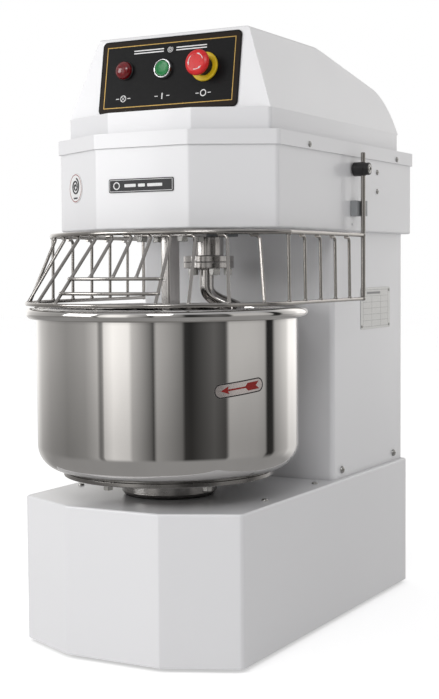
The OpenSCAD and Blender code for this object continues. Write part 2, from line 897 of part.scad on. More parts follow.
module guard_pivot_pins() {
    color("silver")
        for (side = [-1, 1]) {
            on_side(side, 205, pivot_y, pivot_z) cylinder(r = pin_r, h = 25, $fn = 48);
            on_side(side, head_w / 2 - sheet, pivot_y, pivot_z) cylinder(r = 10, h = 6);
        }
}

module guard_stops() {
    stop_z = 673;
    wall_x = head_w / 2;
    color("darkgray")
        for (side = [-1, 1])
            translate([side * wall_x, pivot_y, stop_z])
                mirror([side < 0 ? 1 : 0, 0, 0]) {
                    translate([0, -12, -12.5]) cube([12, 24, 25]);
                    translate([0, post_r, -12.5]) cube([20, 8, 25]);
                }
}

module guard_switch() {
    inner_x = head_w / 2 - sheet;
    color("orange")
        translate([inner_x - 16, pivot_y - 14, 664]) cube([16, 28, 42]);
}

// ---------- bowl ----------

turntable_r = 163;
turntable_t = 10;
turntable_z = bowl_z - turntable_t;
hub_top_z = turntable_z;
bowl_hub_r = 74;
turntable_bolt_r = 146;
turntable_bolts_n = 6;
turntable_bolt_turn = -7;

module bowl() {
    wall_mid = bowl_r - bowl_t / 2;
    outer = rounded([[0, bowl_z], [bowl_r, bowl_z], [bowl_r, rim_z], [0, rim_z]],
        [0, bowl_corner_r, 0, 0], 10);
    inner = rounded([[0, bowl_z + bowl_t], [bowl_r - bowl_t, bowl_z + bowl_t],
        [bowl_r - bowl_t, rim_z + 1], [0, rim_z + 1]], [0, bowl_corner_r - bowl_t, 0, 0], 10);
    color("silver")
        translate([0, bowl_y, 0])
            rotate_extrude($fn = 128) {
                difference() {
                    polygon(outer);
                    polygon(inner);
                }
                translate([wall_mid + rim_r - 1, rim_z])
                    difference() {
                        circle(r = rim_r, $fn = 48);
                        circle(r = rim_r - bowl_t, $fn = 48);
                    }
            }
}

module turntable() {
    color("gray")
        translate([0, bowl_y, 0])
            difference() {
                union() {
                    translate([0, 0, turntable_z]) cylinder(r = turntable_r, h = turntable_t, $fn = 128);
                    translate([0, 0, base_top_z + 3])
                        cylinder(r = bowl_hub_r, h = hub_top_z - base_top_z - 3);
                }
                turntable_bolt_places()
                    cylinder(r = 4, h = cut, $fn = 24);
                translate([0, 0, base_top_z]) cylinder(r = bowl_spindle_r, h = cut);
            }
}

module turntable_bolt_places() {
    for (k = [0:turntable_bolts_n - 1])
        rotate([0, 0, turntable_bolt_turn + k * 360 / turntable_bolts_n])
            translate([0, -turntable_bolt_r, turntable_z - eps]) children();
}

module turntable_bolts() {
    color("silver")
        translate([0, bowl_y, 0])
            turntable_bolt_places() {
                cylinder(r = 4, h = turntable_t + eps, $fn = 24);
                translate([0, 0, -8 + eps]) hex_head(13, 8);
            }
}

module bowl_spindle() {
    color("silver")
        translate([0, bowl_y, 0]) {
            translate([0, 0, floor_top_z + 6]) cylinder(r = bowl_spindle_r, h = bowl_z - floor_top_z - 6);
        }
}

bowl_housing_top_z = 150;
bowl_bearing_r = 42.5;
bowl_bearing_w = 19;

module bowl_bearing_housing() {
    color("dimgray")
        translate([0, bowl_y, 0])
            difference() {
                union() {
                    translate([0, 0, floor_top_z]) cylinder(r = 80, h = 12);
                    translate([0, 0, floor_top_z]) cylinder(r = 54, h = bowl_housing_top_z - floor_top_z);
                }
                ring_z = bowl_housing_top_z - bowl_bearing_w;
                translate([0, 0, floor_top_z + 8]) cylinder(r = bowl_bearing_r, h = bowl_bearing_w);
                translate([0, 0, ring_z]) cylinder(r = bowl_bearing_r, h = cut);
                translate([0, 0, floor_top_z + 4]) cylinder(r = 36, h = 200);
            }
}

module bowl_bearings() {
    color("lightsteelblue")
        translate([0, bowl_y, 0]) {
            bearing(bowl_bearing_r, bowl_spindle_r + running_gap, bowl_bearing_w, floor_top_z + 8);
            bearing(bowl_bearing_r, bowl_spindle_r + running_gap, bowl_bearing_w,
                bowl_housing_top_z - bowl_bearing_w);
        }
}

module bowl_seal() {
    color("#222222")
        translate([0, bowl_y, 0]) ring(68, 52, 2.7, base_top_z);
}

module bowl_pulley() {
    color("gray")
        translate([0, bowl_y, 0]) pulley(bowl_pulley_r, bowl_spindle_r, bowl_belt_z, 45);
}

module bowl_belt() {
    color("#202020")
        belt([0, bowl_y], bowl_pulley_r, [counter_x, counter_y], counter_small_r, bowl_belt_z);
}

// ---------- breaker bar and hook ----------

breaker_flange = [92, 64, 10];
breaker_flange_z = column_top_z - breaker_flange[2];
tool_floor_gap = 10;
hook_flange_r = 41;
hook_flange_t = 10;
hook_flange_z = 577;
hook_bolt_pcr = 31;
hook_bolts_n = 5;

module breaker_bar() {
    low_z = bowl_z + bowl_t + tool_floor_gap;
    h = breaker_flange_z - low_z;
    half_w = breaker_w / 2;
    half_d = breaker_d / 2;
    section = [[-half_w, -half_d], [half_w, -half_d], [half_w, half_d], [-half_w, half_d]];
    color("silver")
        difference() {
            union() {
                block(breaker_flange, [0, breaker_y, breaker_flange_z]);
                translate([0, breaker_y, low_z])
                    linear_extrude(h + 1) polygon(rounded(section, [3, 3, 3, 3], 3));
            }
            for (p = breaker_bolt_points)
                translate([p[0], p[1], breaker_flange_z - eps]) cylinder(r = 5.25, h = cut, $fn = 32);
        }
}

module breaker_bolts() {
    color("silver")
        for (p = breaker_bolt_points)
            translate([p[0], p[1], 0]) {
                translate([0, 0, breaker_flange_z - 8]) hex_head(16, 8);
                translate([0, 0, breaker_flange_z - 1]) cylinder(r = 5, h = 33, $fn = 32);
            }
}

// Middle line of the hook's rod: a straight leg below the flange, a bend outwards, then the coil down
hook_low_z = bowl_z + bowl_t + tool_floor_gap + hook_rod_r;
hook_leg_top = [-1.5, -4.5, hook_flange_z + 3];
hook_leg_end = [-1.5, -4.5, 548];
hook_coil_z = 505;
hook_coil_turn = -378;
hook_leg_part = 0.06;
hook_bend_part = 0.2;
function coil_point(part) = [
    hook_coil_r * cos(hook_coil_turn * part),
    hook_coil_r * sin(hook_coil_turn * part),
    hook_coil_z + (hook_low_z - hook_coil_z) * part
];
function bezier(points, t) =
    pow(1 - t, 3) * points[0] + 3 * pow(1 - t, 2) * t * points[1]
    + 3 * (1 - t) * t * t * points[2] + pow(t, 3) * points[3];
hook_bend = [
    hook_leg_end,
    hook_leg_end - [0, 0, 30],
    coil_point(0) - 28 * unit(coil_point(0.01) - coil_point(0)),
    coil_point(0)
];
function along_bend(part) = (part - hook_leg_part) / (hook_bend_part - hook_leg_part);
function hook_point(part) =
    part < hook_leg_part ? hook_leg_top + (hook_leg_end - hook_leg_top) * part / hook_leg_part
    : part < hook_bend_part ? bezier(hook_bend, along_bend(part))
    : coil_point((part - hook_bend_part) / (1 - hook_bend_part));
function hook_side(part) =
    let (t = max(along_bend(part), 0), here = hook_point(part))
    t < 1 ? [t, t - 1, 0] : [here[0], here[1], 0];

module hook_rod() {
    steps = 80;
    sides = 20;
    middles = [for (i = [0:steps]) hook_point(i / steps)];
    tips = [for (i = [0:steps])
        let (
            ahead = unit(middles[min(i + 1, steps)] - middles[max(i - 1, 0)]),
            across = unit(cross(ahead, hook_side(i / steps))),
            up = cross(across, ahead),
            taper = i > steps - 4 ? sqrt(1 - pow((i - steps + 4) / 4.6, 2)) : 1
        )
        for (k = [0:sides - 1])
            middles[i] + hook_rod_r * taper * (across * cos(360 * k / sides) + up * sin(360 * k / sides))];
    sides_faces = [for (i = [0:steps - 1], k = [0:sides - 1])
        [i * sides + k, i * sides + (k + 1) % sides, (i + 1) * sides + (k + 1) % sides, (i + 1) * sides + k]];
    start_face = [for (k = [0:sides - 1]) sides - 1 - k];
    end_face = [for (k = [0:sides - 1]) steps * sides + k];
    polyhedron(points = tips, faces = concat(sides_faces, [start_face], [end_face]), convexity = 6);
}

module hook_bolt_places() {
    for (k = [0:hook_bolts_n - 1])
        rotate([0, 0, 25 + k * 360 / hook_bolts_n]) translate([hook_bolt_pcr, 0, 0]) children();
}

module spiral_hook() {
    color("silver")
        translate([0, hook_y, 0]) {
            difference() {
                translate([0, 0, hook_flange_z]) cylinder(r = hook_flange_r, h = hook_flange_t);
                hook_bolt_places()
                    translate([0, 0, hook_flange_z - eps]) cylinder(r = 4.4, h = cut, $fn = 24);
            }
            hook_rod();
        }
}

module hook_bolts() {
    color("silver")
        translate([0, hook_y, 0])
            hook_bolt_places() {
                translate([0, 0, hook_flange_z - 11 - running_gap]) hex_head(13, 11);
                translate([0, 0, hook_flange_z - 1]) cylinder(r = 4, h = 16, $fn = 24);
            }
}

hook_boss_z = hook_flange_z + 2 * hook_flange_t;
hook_housing_z = 628;
hook_bearing_r = 36;
hook_bearing_w = 17;
hook_upper_bearing_z = 678;

module hook_spindle() {
    color("lightgray")
        translate([0, hook_y, 0])
            difference() {
                union() {
                    translate([0, 0, hook_flange_z + hook_flange_t])
                        cylinder(r = hook_flange_r, h = hook_flange_t);
                    translate([0, 0, hook_boss_z]) cylinder(r = 24.5, h = hook_housing_z - 1 - hook_boss_z);
                    translate([0, 0, hook_boss_z]) cylinder(r = spindle_r, h = 728 - hook_boss_z);
                }
                hook_bolt_places()
                    translate([0, 0, hook_flange_z + hook_flange_t - eps]) cylinder(r = 4, h = 6, $fn = 24);
            }
}

module hook_bearing_housing() {
    top_z = hook_upper_bearing_z + hook_bearing_w + 1;
    color("dimgray")
        translate([0, hook_y, 0])
            difference() {
                union() {
                    translate([0, 0, hook_housing_z])
                        cylinder(r = hook_housing_r, h = top_z - hook_housing_z);
                    translate([0, 0, drive_plate_top_z]) cylinder(r = 72, h = 12);
                }
                translate([0, 0, hook_housing_z - eps]) cylinder(r = 28, h = 100);
                translate([0, 0, hook_housing_z + 6]) cylinder(r = hook_bearing_r, h = hook_bearing_w);
                translate([0, 0, hook_upper_bearing_z]) cylinder(r = hook_bearing_r, h = cut);
            }
}

module hook_bearings() {
    color("lightsteelblue")
        translate([0, hook_y, 0]) {
            bearing(hook_bearing_r, spindle_r + running_gap, hook_bearing_w, hook_housing_z + 6);
            bearing(hook_bearing_r, spindle_r + running_gap, hook_bearing_w, hook_upper_bearing_z);
        }
}

module hook_pulley() {
    color("gray")
        translate([0, hook_y, 0]) pulley(hook_pulley_r, spindle_r, hook_belt_z, 32);
}

module hook_belt() {
    color("#202020")
        belt([0, hook_y], hook_pulley_r, [layshaft_x, layshaft_y], hook_drive_r, hook_belt_z);
}

// ---------- layshaft, countershaft and motor ----------

layshaft_low_z = floor_top_z + 6;
layshaft_top_z = motor_belt_z + pulley_w / 2 + 3;

module layshaft() {
    color("lightgray")
        translate([layshaft_x, layshaft_y, 0]) {
            translate([0, 0, layshaft_low_z]) cylinder(r = layshaft_r, h = layshaft_top_z - layshaft_low_z);
            pulley(layshaft_foot_r, layshaft_r - 1, counter_belt_z, 20);
            pulley(hook_drive_r, layshaft_r - 1, hook_belt_z, 20);
            pulley(input_pulley_r, layshaft_r - 1, motor_belt_z + 0.5, 30);
        }
}

module bearing_unit(bore_r, z) {
    translate([0, 0, z])
        difference() {
            union() {
                cylinder(r = 46, h = 9);
                cylinder(r = 34, h = 28);
            }
            translate([0, 0, -eps]) cylinder(r = bore_r + running_gap, h = cut);
        }
}

module layshaft_bearing_units() {
    color("dimgray")
        translate([layshaft_x, layshaft_y, 0]) {
            bearing_unit(layshaft_r, floor_top_z);
            bearing_unit(layshaft_r, drive_plate_top_z);
        }
}

module countershaft() {
    color("lightgray")
        translate([counter_x, counter_y, 0]) {
            translate([0, 0, floor_top_z + 4]) cylinder(r = counter_r, h = 170);
            pulley(counter_pulley_r, counter_r - 1, counter_belt_z, 26);
            pulley(counter_small_r, counter_r - 1, bowl_belt_z, 18);
        }
}

module countershaft_housing() {
    color("dimgray")
        translate([counter_x, counter_y, floor_top_z])
            difference() {
                union() {
                    cylinder(r = 50, h = 10);
                    cylinder(r = 32, h = 95);
                }
                translate([0, 0, -eps]) cylinder(r = counter_r + running_gap, h = 2 * cut);
            }
}

module counter_belt() {
    color("#202020")
        belt([layshaft_x, layshaft_y], layshaft_foot_r, [counter_x, counter_y], counter_pulley_r,
            counter_belt_z);
}

motor_r = 72;
motor_low_z = 400;

module motor_body() {
    fins = 16;
    color("steelblue")
        translate([motor_x, motor_y, 0])
            difference() {
                union() {
                    translate([0, 0, motor_low_z]) cylinder(r = motor_r - 8, h = drive_plate_z - motor_low_z);
                    translate([0, 0, drive_plate_z - 12]) cylinder(r = 80, h = 12);
                    translate([0, 0, motor_low_z - 35]) cylinder(r = motor_r, h = 40);
                    for (k = [0:fins - 1])
                        rotate([0, 0, 360 * k / fins])
                            translate([motor_r - 12, -1.5, motor_low_z + 20]) cube([12, 3, 200]);
                    translate([motor_r - 10, -30, 520]) cube([28, 60, 80]);
                }
                translate([0, 0, motor_low_z - 32]) cylinder(r = motor_r - 3, h = 34);
                translate([0, 0, motor_low_z + 25]) cylinder(r = 48, h = 190);
                translate([0, 0, motor_low_z - cut]) cylinder(r = motor_shaft_r + running_gap, h = 400);
            }
}

module motor_rotor() {
    color("silver")
        translate([motor_x, motor_y, 0]) {
            translate([0, 0, motor_low_z - 28])
                cylinder(r = motor_shaft_r, h = motor_belt_z + pulley_w / 2 - motor_low_z + 30);
            translate([0, 0, motor_low_z + 40]) cylinder(r = 46, h = 150);
            translate([0, 0, motor_low_z - 26]) cylinder(r = 60, h = 18);
            pulley(motor_pulley_r, motor_shaft_r - 1, motor_belt_z + 0.5, 20);
        }
}

module motor_belt() {
    color("#202020")
        belt([motor_x, motor_y], motor_pulley_r, [layshaft_x, layshaft_y], input_pulley_r,
            motor_belt_z + 0.5);
}

base_housing();
base_floor_plate();
feet();
foot_studs();
base_top_screws();
column_shell();
column_back_cover();
back_cover_screws();
column_screws();
cable_gland();
head_casing();
drive_plate();
plate_spacers();
top_cover();
head_screws();
control_plate();
lamp_holder();
lamp_lens();
start_bezel();
start_button();
stop_base();
stop_button();
contact_blocks();
nameplate();
round_badge();
rating_plate();
rating_plate_rivets();
electrical_box();
guard_cage();
guard_wires();
guard_hubs();
guard_pivot_pins();
guard_stops();
guard_switch();
bowl();
turntable();
turntable_bolts();
bowl_spindle();
bowl_bearing_housing();
bowl_bearings();
bowl_seal();
bowl_pulley();
bowl_belt();
breaker_bar();
breaker_bolts();
spiral_hook();
hook_bolts();
hook_spindle();
hook_bearing_housing();
hook_bearings();
hook_pulley();
hook_belt();
layshaft();
layshaft_bearing_units();
countershaft();
countershaft_housing();
counter_belt();
motor_body();
motor_rotor();
motor_belt();
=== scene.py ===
"""Looks of the spiral dough mixer: painted shells, steel bowl, wire guard, hook, controls and plates."""

import json
import math

import bmesh
import bpy
from mathutils import Matrix, Vector, noise
from mathutils.geometry import interpolate_bezier


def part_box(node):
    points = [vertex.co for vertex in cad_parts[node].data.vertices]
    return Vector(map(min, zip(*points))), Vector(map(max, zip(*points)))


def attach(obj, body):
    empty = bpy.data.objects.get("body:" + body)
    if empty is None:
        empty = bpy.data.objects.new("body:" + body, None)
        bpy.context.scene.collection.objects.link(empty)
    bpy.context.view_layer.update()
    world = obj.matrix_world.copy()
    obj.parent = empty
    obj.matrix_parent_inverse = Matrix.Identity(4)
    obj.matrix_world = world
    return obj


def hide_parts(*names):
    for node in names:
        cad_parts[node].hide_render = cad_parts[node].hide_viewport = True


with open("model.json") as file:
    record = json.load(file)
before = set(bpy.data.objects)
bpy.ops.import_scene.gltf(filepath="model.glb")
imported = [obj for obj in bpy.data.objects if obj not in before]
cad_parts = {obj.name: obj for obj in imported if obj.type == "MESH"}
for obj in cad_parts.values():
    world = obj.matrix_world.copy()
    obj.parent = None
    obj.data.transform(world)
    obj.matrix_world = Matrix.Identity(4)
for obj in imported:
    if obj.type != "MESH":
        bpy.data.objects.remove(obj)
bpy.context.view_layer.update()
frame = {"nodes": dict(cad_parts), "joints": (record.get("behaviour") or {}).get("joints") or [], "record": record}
NODES = frame["nodes"]
JOINTS = {joint["name"]: joint for joint in frame["joints"]}
SLOT_OF = {part["node"]: part["material_slot"] for part in frame["record"]["subparts"]}
MM = 0.001


# ---------- node trees ----------

class Nodes:
    """A node tree, with short calls for the nodes that fill it."""

    def __init__(self, tree):
        self.tree = tree

    def node(self, kind, **settings):
        made = self.tree.nodes.new(kind)
        for key, value in settings.items():
            setattr(made, key, value)
        return made

    def link(self, value, socket):
        if isinstance(value, bpy.types.NodeSocket):
            self.tree.links.new(value, socket)
        else:
            socket.default_value = value

    def calc(self, operation, first, second):
        made = self.node("ShaderNodeMath", operation=operation)
        self.link(first, made.inputs[0])
        self.link(second, made.inputs[1])
        return made.outputs[0]

    def range(self, value, low, high, start=0.3, end=0.7, curve="LINEAR"):
        """The value, spread from start and end to low and high."""
        made = self.node("ShaderNodeMapRange", interpolation_type=curve)
        self.link(value, made.inputs["Value"])
        for name, number in (("From Min", start), ("From Max", end), ("To Min", low), ("To Max", high)):
            made.inputs[name].default_value = number
        return made.outputs[0]

    def mix(self, amount, first, second):
        """Two colours mixed. Each is a socket or a colour of three parts."""
        made = self.node("ShaderNodeMix", data_type="RGBA")
        self.link(amount, made.inputs[0])
        for socket, value in ((made.inputs[6], first), (made.inputs[7], second)):
            self.link((*value, 1) if isinstance(value, tuple) else value, socket)
        return made.outputs[2]


# ---------- camera, light and floor ----------

# Where the camera stands, its turn from the front, its dip and its roll in degrees, and its lens in mm
CAMERA_AT = (1.0810, -1.9619, 0.5785)
CAMERA_TURN = 28.8
CAMERA_DIP = 3.46
CAMERA_ROLL = -0.41
CAMERA_LENS = 70.06

# Brightness of the studio round the mixer, by compass angle from the front towards its right side
STUDIO_BANDS = [
    (-180, 0.80), (-168, 0.55), (-130, 1.25), (-112, 0.78), (-93, 0.54), (-66, 0.38), (-45, 0.46),
    (-31.5, 0.75), (-30.5, 0.28), (-27, 0.30), (-25.5, 1.05), (-17, 1.42), (-3, 1.25), (0, 0.74),
    (16, 0.22), (18.5, 0.05), (20.5, 0.60), (42, 0.27), (44.5, 0.04), (50, 0.03), (70, 0.15),
    (81, 0.08), (84, 0.66), (112, 0.62), (122, 0.54), (124.5, 0.02), (132, 0.03), (136, 0.55),
    (154, 0.92), (160, 1.38), (174, 1.42),
]
CEILING = (0.52, 0.52, 0.53)
GROUND = (0.34, 0.335, 0.33)
FLOOR_EDGE = (0.04, 0.038, 0.036)


def make_camera():
    lens = bpy.data.cameras.new("camera")
    lens.lens = CAMERA_LENS
    camera = bpy.data.objects.new("camera", lens)
    turn = Matrix.Rotation(math.radians(CAMERA_TURN), 4, "Z")
    pitch = Matrix.Rotation(math.radians(90 - CAMERA_DIP), 4, "X")
    roll = Matrix.Rotation(math.radians(CAMERA_ROLL), 4, "Z")
    camera.matrix_world = Matrix.Translation(CAMERA_AT) @ turn @ pitch @ roll
    bpy.context.scene.collection.objects.link(camera)
    bpy.context.scene.camera = camera


def make_studio():
    """A soft white room whose dark and bright upright panels show in polished steel."""
    world = bpy.data.worlds.new("studio")
    world.use_nodes = True
    world.node_tree.nodes.clear()
    studio = Nodes(world.node_tree)
    axes = studio.node("ShaderNodeSeparateXYZ")
    studio.link(studio.node("ShaderNodeTexCoord").outputs["Generated"], axes.inputs[0])
    east, north, up = axes.outputs
    compass = studio.calc("ARCTAN2", east, studio.calc("MULTIPLY", north, -1))
    bands = studio.node("ShaderNodeValToRGB")
    stops = bands.color_ramp.elements
    stops.remove(stops[1])
    for angle, light in STUDIO_BANDS:
        stop = stops.new(angle / 360 + 0.5) if angle > -180 else stops[0]
        stop.color = (light, light * 0.985, light * 0.965, 1)
    studio.link(studio.calc("ADD", studio.calc("DIVIDE", compass, 2 * math.pi), 0.5), bands.inputs[0])
    room = studio.mix(studio.range(up, 0.42, 0, -0.13, -0.06), bands.outputs[0], FLOOR_EDGE)
    room = studio.mix(studio.range(up, 0, 1, 0.35, 0.75, "SMOOTHSTEP"), room, CEILING)
    room = studio.mix(studio.range(up, 0, 1, -0.20, -0.45, "SMOOTHSTEP"), room, GROUND)
    white = (1.0, 1.0, 1.0)
    seen = studio.mix(studio.node("ShaderNodeLightPath").outputs["Is Camera Ray"], room, white)
    light = studio.node("ShaderNodeBackground")
    studio.link(seen, light.inputs[0])
    studio.link(light.outputs[0], studio.node("ShaderNodeOutputWorld").inputs[0])
    bpy.context.scene.world = world


def softbox(name, at, side, power):
    """A square lamp, aimed at the middle of the mixer."""
    light = bpy.data.lights.new(name, "AREA")
    light.shape = "RECTANGLE"
    light.size = light.size_y = side
    light.energy = power
    lamp = bpy.data.objects.new(name, light)
    lamp.location = at
    lamp.rotation_euler = (Vector((0, 0, 0.5)) - Vector(at)).to_track_quat("-Z", "Y").to_euler()
    bpy.context.scene.collection.objects.link(lamp)


def make_lights():
    softbox("key", (-2.3, -2.5, 1.5), 1.7, 39)
    softbox("front", (1.0, -2.4, 2.2), 0.9, 15)


def make_floor():
    """A wide disc of pale paper that looks white to the camera."""
    shape = bmesh.new()
    bmesh.ops.create_circle(shape, cap_ends=True, radius=14, segments=64)
    mesh = bpy.data.meshes.new("floor")
    shape.to_mesh(mesh)
    shape.free()
    floor = bpy.data.objects.new("floor", mesh)
    bpy.context.scene.collection.objects.link(floor)
    paper = Surface("floor_paper", {"Base Color": (0.86, 0.86, 0.86, 1), "Roughness": 0.9})
    seen = paper.node("ShaderNodeLightPath").outputs["Is Camera Ray"]
    paper.set("Emission Color", (1, 1, 1, 1))
    paper.set("Emission Strength", paper.range(seen, 0.10, 0.5, 0, 1))
    mesh.materials.append(paper.material)
    floor.visible_glossy = False


# ---------- materials ----------

class Surface(Nodes):
    """One material, with short calls for what makes its detail."""

    def __init__(self, name, settings):
        self.material = bpy.data.materials.new(name)
        self.material.use_nodes = True
        super().__init__(self.material.node_tree)
        self.shader = self.tree.nodes["Principled BSDF"]
        self.place = self.node("ShaderNodeTexCoord").outputs["Object"]
        for socket, value in settings.items():
            self.set(socket, value)

    def set(self, name, value):
        self.link(value, self.shader.inputs[name])

    def noise(self, grain, stretch=(1, 1, 1), detail=3.0):
        """Noise with grains of about this size in metres, longer along an axis whose stretch is large."""
        mapping = self.node("ShaderNodeMapping")
        self.link(self.place, mapping.inputs["Vector"])
        mapping.inputs["Scale"].default_value = [1 / (grain * long) for long in stretch]
        made = self.node("ShaderNodeTexNoise")
        self.link(mapping.outputs[0], made.inputs["Vector"])
        made.inputs["Scale"].default_value = 1
        made.inputs["Detail"].default_value = detail
        return made.outputs["Fac"]

    def occlusion_shade(self, reach):
        """1 in open places and towards 0 in corners and seams, where shade falls; the materials paint shade into
        their colour with it.
        """
        made = self.node("ShaderNodeAmbientOcclusion", samples=16)
        made.inputs["Distance"].default_value = reach
        return made.outputs["AO"]

    def bump(self, height, depth):
        made = self.node("ShaderNodeBump")
        self.link(height, made.inputs["Height"])
        made.inputs["Distance"].default_value = depth
        self.set("Normal", made.outputs[0])


def tone(colour, factor):
    return tuple(min(part * factor, 1) for part in colour)


def enamel(name, colour):
    """Sprayed gloss enamel: faint orange peel, slow drifts of tone, and shade painted darker into the seams."""
    paint = Surface(name, {"IOR": 1.5, "Coat Weight": 0.3, "Coat Roughness": 0.08})
    drift = paint.range(paint.noise(0.25, detail=1), 0, 1, 0.15, 0.85)
    clean = paint.mix(drift, tone(colour, 0.98), tone(colour, 1.01))
    # Painted shade: the enamel's colour goes down to 0.8 of itself in corners and seams, where occlusion falls.
    painted_shade_mask = paint.range(paint.occlusion_shade(0.012), 0, 1, 0.35, 0.85)
    paint.set("Base Color", paint.mix(painted_shade_mask, tone(colour, 0.80), clean))
    paint.set("Roughness", paint.range(paint.noise(0.09, detail=1), 0.27, 0.34, 0.15, 0.85))
    paint.bump(paint.noise(0.006, detail=1), 0.00003)
    return paint.material


def steel(name, colour, rough, grain=0.0006, stretch=(1, 1, 1), depth=0.000012, dark=0.9):
    """Worked steel: grinding lines along the stretched axes, uneven polish and shade painted darker into the
    seams.
    """
    metal = Surface(name, {"Metallic": 1.0})
    lines = metal.noise(grain, stretch, detail=2)
    patch = metal.range(metal.noise(0.03), 0, 1)
    worn = metal.mix(patch, tone(colour, dark), colour)
    # Painted shade: the steel's colour goes down to 0.55 of itself in corners and seams, where occlusion falls.
    painted_shade_mask = metal.range(metal.occlusion_shade(0.006), 0, 1, 0.2, 0.8)
    metal.set("Base Color", metal.mix(painted_shade_mask, tone(colour, 0.55), worn))
    metal.set("Roughness", metal.range(metal.noise(0.02), rough * 0.8, rough * 1.25))
    metal.bump(lines, depth)
    return metal.material


def moulded(name, colour, rough=0.4, grain=0.0007, depth=0.00004):
    """Moulded plastic or rubber with a fine spark-eroded grain and slightly rubbed patches."""
    plastic = Surface(name, {"IOR": 1.47})
    rubbed = plastic.range(plastic.noise(0.012), 0, 1)
    plastic.set("Base Color", plastic.mix(rubbed, tone(colour, 0.88), tone(colour, 1.08)))
    plastic.set("Roughness", plastic.range(plastic.noise(0.006), rough * 0.85, rough * 1.2))
    plastic.bump(plastic.noise(grain, detail=2), depth)
    return plastic.material


def cast(name, colour, rough=0.55):
    """Painted casting with sand texture, thinner paint on the high spots."""
    metal = Surface(name, {"Metallic": 0.15})
    sand = metal.noise(0.0018, detail=4)
    # Painted shade: the casting's colour goes down to 0.6 of itself in its hollows and seams, where occlusion
    # falls.
    painted_shade_mask = metal.range(metal.occlusion_shade(0.01), 0, 1, 0.3, 0.9)
    metal.set("Base Color", metal.mix(painted_shade_mask, tone(colour, 0.6), metal.mix(sand, tone(colour, 0.85), colour)))
    metal.set("Roughness", metal.range(sand, rough * 0.85, rough * 1.2))
    metal.bump(sand, 0.0002)
    return metal.material


def spun_steel(name, colour):
    """Spun stainless: rings of fine polishing lines that draw reflections out upright, and a soft haze."""
    metal = Surface(name, {"Metallic": 1.0})
    rings = metal.noise(0.0011, (400, 400, 1), detail=3)
    haze = metal.range(metal.noise(0.06, (1, 1, 3)), 0, 1)
    # Painted shade: the bowl's colour goes down to half in its corners and seams, where occlusion falls.
    painted_shade_mask = metal.range(metal.occlusion_shade(0.01), 0, 1, 0.2, 0.8)
    metal.set("Base Color", metal.mix(painted_shade_mask, tone(colour, 0.5), metal.mix(haze, tone(colour, 0.93), colour)))
    metal.set("Roughness", metal.range(metal.noise(0.05, (1, 1, 4)), 0.035, 0.075))
    metal.bump(rings, 0.000005)
    return metal.material


def lens(name, deep, bright):
    """Moulded lens that glows a little, with uneven depth of colour."""
    glass = Surface(name, {"IOR": 1.49, "Coat Weight": 0.5, "Coat Roughness": 0.12})
    depth = glass.range(glass.noise(0.003), 0, 1)
    glass.set("Base Color", glass.mix(depth, deep, bright))
    glass.set("Subsurface Weight", 0.3)
    glass.set("Subsurface Radius", (0.004, 0.001, 0.001))
    glass.set("Roughness", glass.range(glass.noise(0.002), 0.1, 0.2))
    glass.bump(glass.noise(0.0012, detail=1), 0.00003)
    return glass.material


def printed(name, colour, rough=0.3, metallic=0.0, gloss=0.3):
    """Screen print or foil: even colour broken by a fine dot."""
    ink = Surface(name, {"Metallic": metallic, "Specular IOR Level": gloss})
    dots = ink.range(ink.noise(0.0009, detail=1), 0, 1)
    ink.set("Base Color", ink.mix(dots, tone(colour, 0.86), tone(colour, 1.06)))
    ink.set("Roughness", ink.range(ink.noise(0.004), rough * 0.9, rough * 1.2))
    ink.bump(dots, 0.00001)
    return ink.material


def make_paints():
    """One material for each of the record's slots, and the extra inks of the plates."""
    even = (1, 1, 1)
    recipes = {
        "white_paint": (enamel, (0.80, 0.80, 0.815)),
        "back_panel_paint": (enamel, (0.74, 0.74, 0.755)),
        "polished_bowl": (spun_steel, (0.70, 0.685, 0.67)),
        "wire_steel": (steel, (0.43, 0.41, 0.39), 0.15, 0.0008, even, 0.00001),
        "tool_steel": (steel, (0.60, 0.58, 0.565), 0.15, 0.0012, (1, 1, 30), 0.00001),
        "zinc_fasteners": (steel, (0.46, 0.455, 0.44), 0.28, 0.0005),
        "machined_steel": (steel, (0.30, 0.29, 0.28), 0.24, 0.0007, (60, 60, 1), 0.00002),
        "bearing_steel": (steel, (0.64, 0.64, 0.66), 0.14, 0.0006),
        "cast_housing": (cast, (0.16, 0.17, 0.18)),
        "frame_paint": (cast, (0.10, 0.105, 0.11), 0.45),
        "motor_paint": (cast, (0.10, 0.15, 0.22), 0.4),
        "belt_rubber": (moulded, (0.022, 0.022, 0.023), 0.75, 0.0012, 0.0001),
        "foot_rubber": (moulded, (0.02, 0.02, 0.02), 0.8, 0.001, 0.0001),
        "black_plastic": (moulded, (0.018, 0.018, 0.019), 0.34),
        "control_plate_print": (printed, (0.005, 0.005, 0.0055), 0.38, 0.0, 0.12),
        "lens_red": (lens, (0.10, 0.001, 0.003), (0.20, 0.003, 0.006)),
        "bezel_chrome": (steel, (0.82, 0.82, 0.83), 0.06, 0.002, even, 0.000004, 0.97),
        "button_green": (moulded, (0.006, 0.19, 0.045), 0.25),
        "stop_yellow": (moulded, (0.72, 0.50, 0.012), 0.36),
        "stop_red": (moulded, (0.60, 0.012, 0.014), 0.30),
        "grey_plastic": (moulded, (0.32, 0.33, 0.34), 0.45),
        "label_metal": (printed, (0.62, 0.62, 0.61), 0.32, 0.6),
        "plate_brown": (printed, (0.016, 0.010, 0.006), 0.38, 0.0, 0.12),
        "gold_line": (printed, (0.42, 0.27, 0.075), 0.35, 0.5),
        "white_ink": (printed, (0.82, 0.82, 0.82), 0.4),
        "dark_ink": (printed, (0.03, 0.03, 0.032), 0.4),
        "red_ink": (printed, (0.26, 0.014, 0.012), 0.4),
        "sticker_film": (printed, (0.66, 0.60, 0.58), 0.22, 0.75),
        "grey_ink": (printed, (0.30, 0.30, 0.30), 0.4),
    }
    return {name: recipe(name, *settings) for name, (recipe, *settings) in recipes.items()}


# ---------- shape helpers ----------

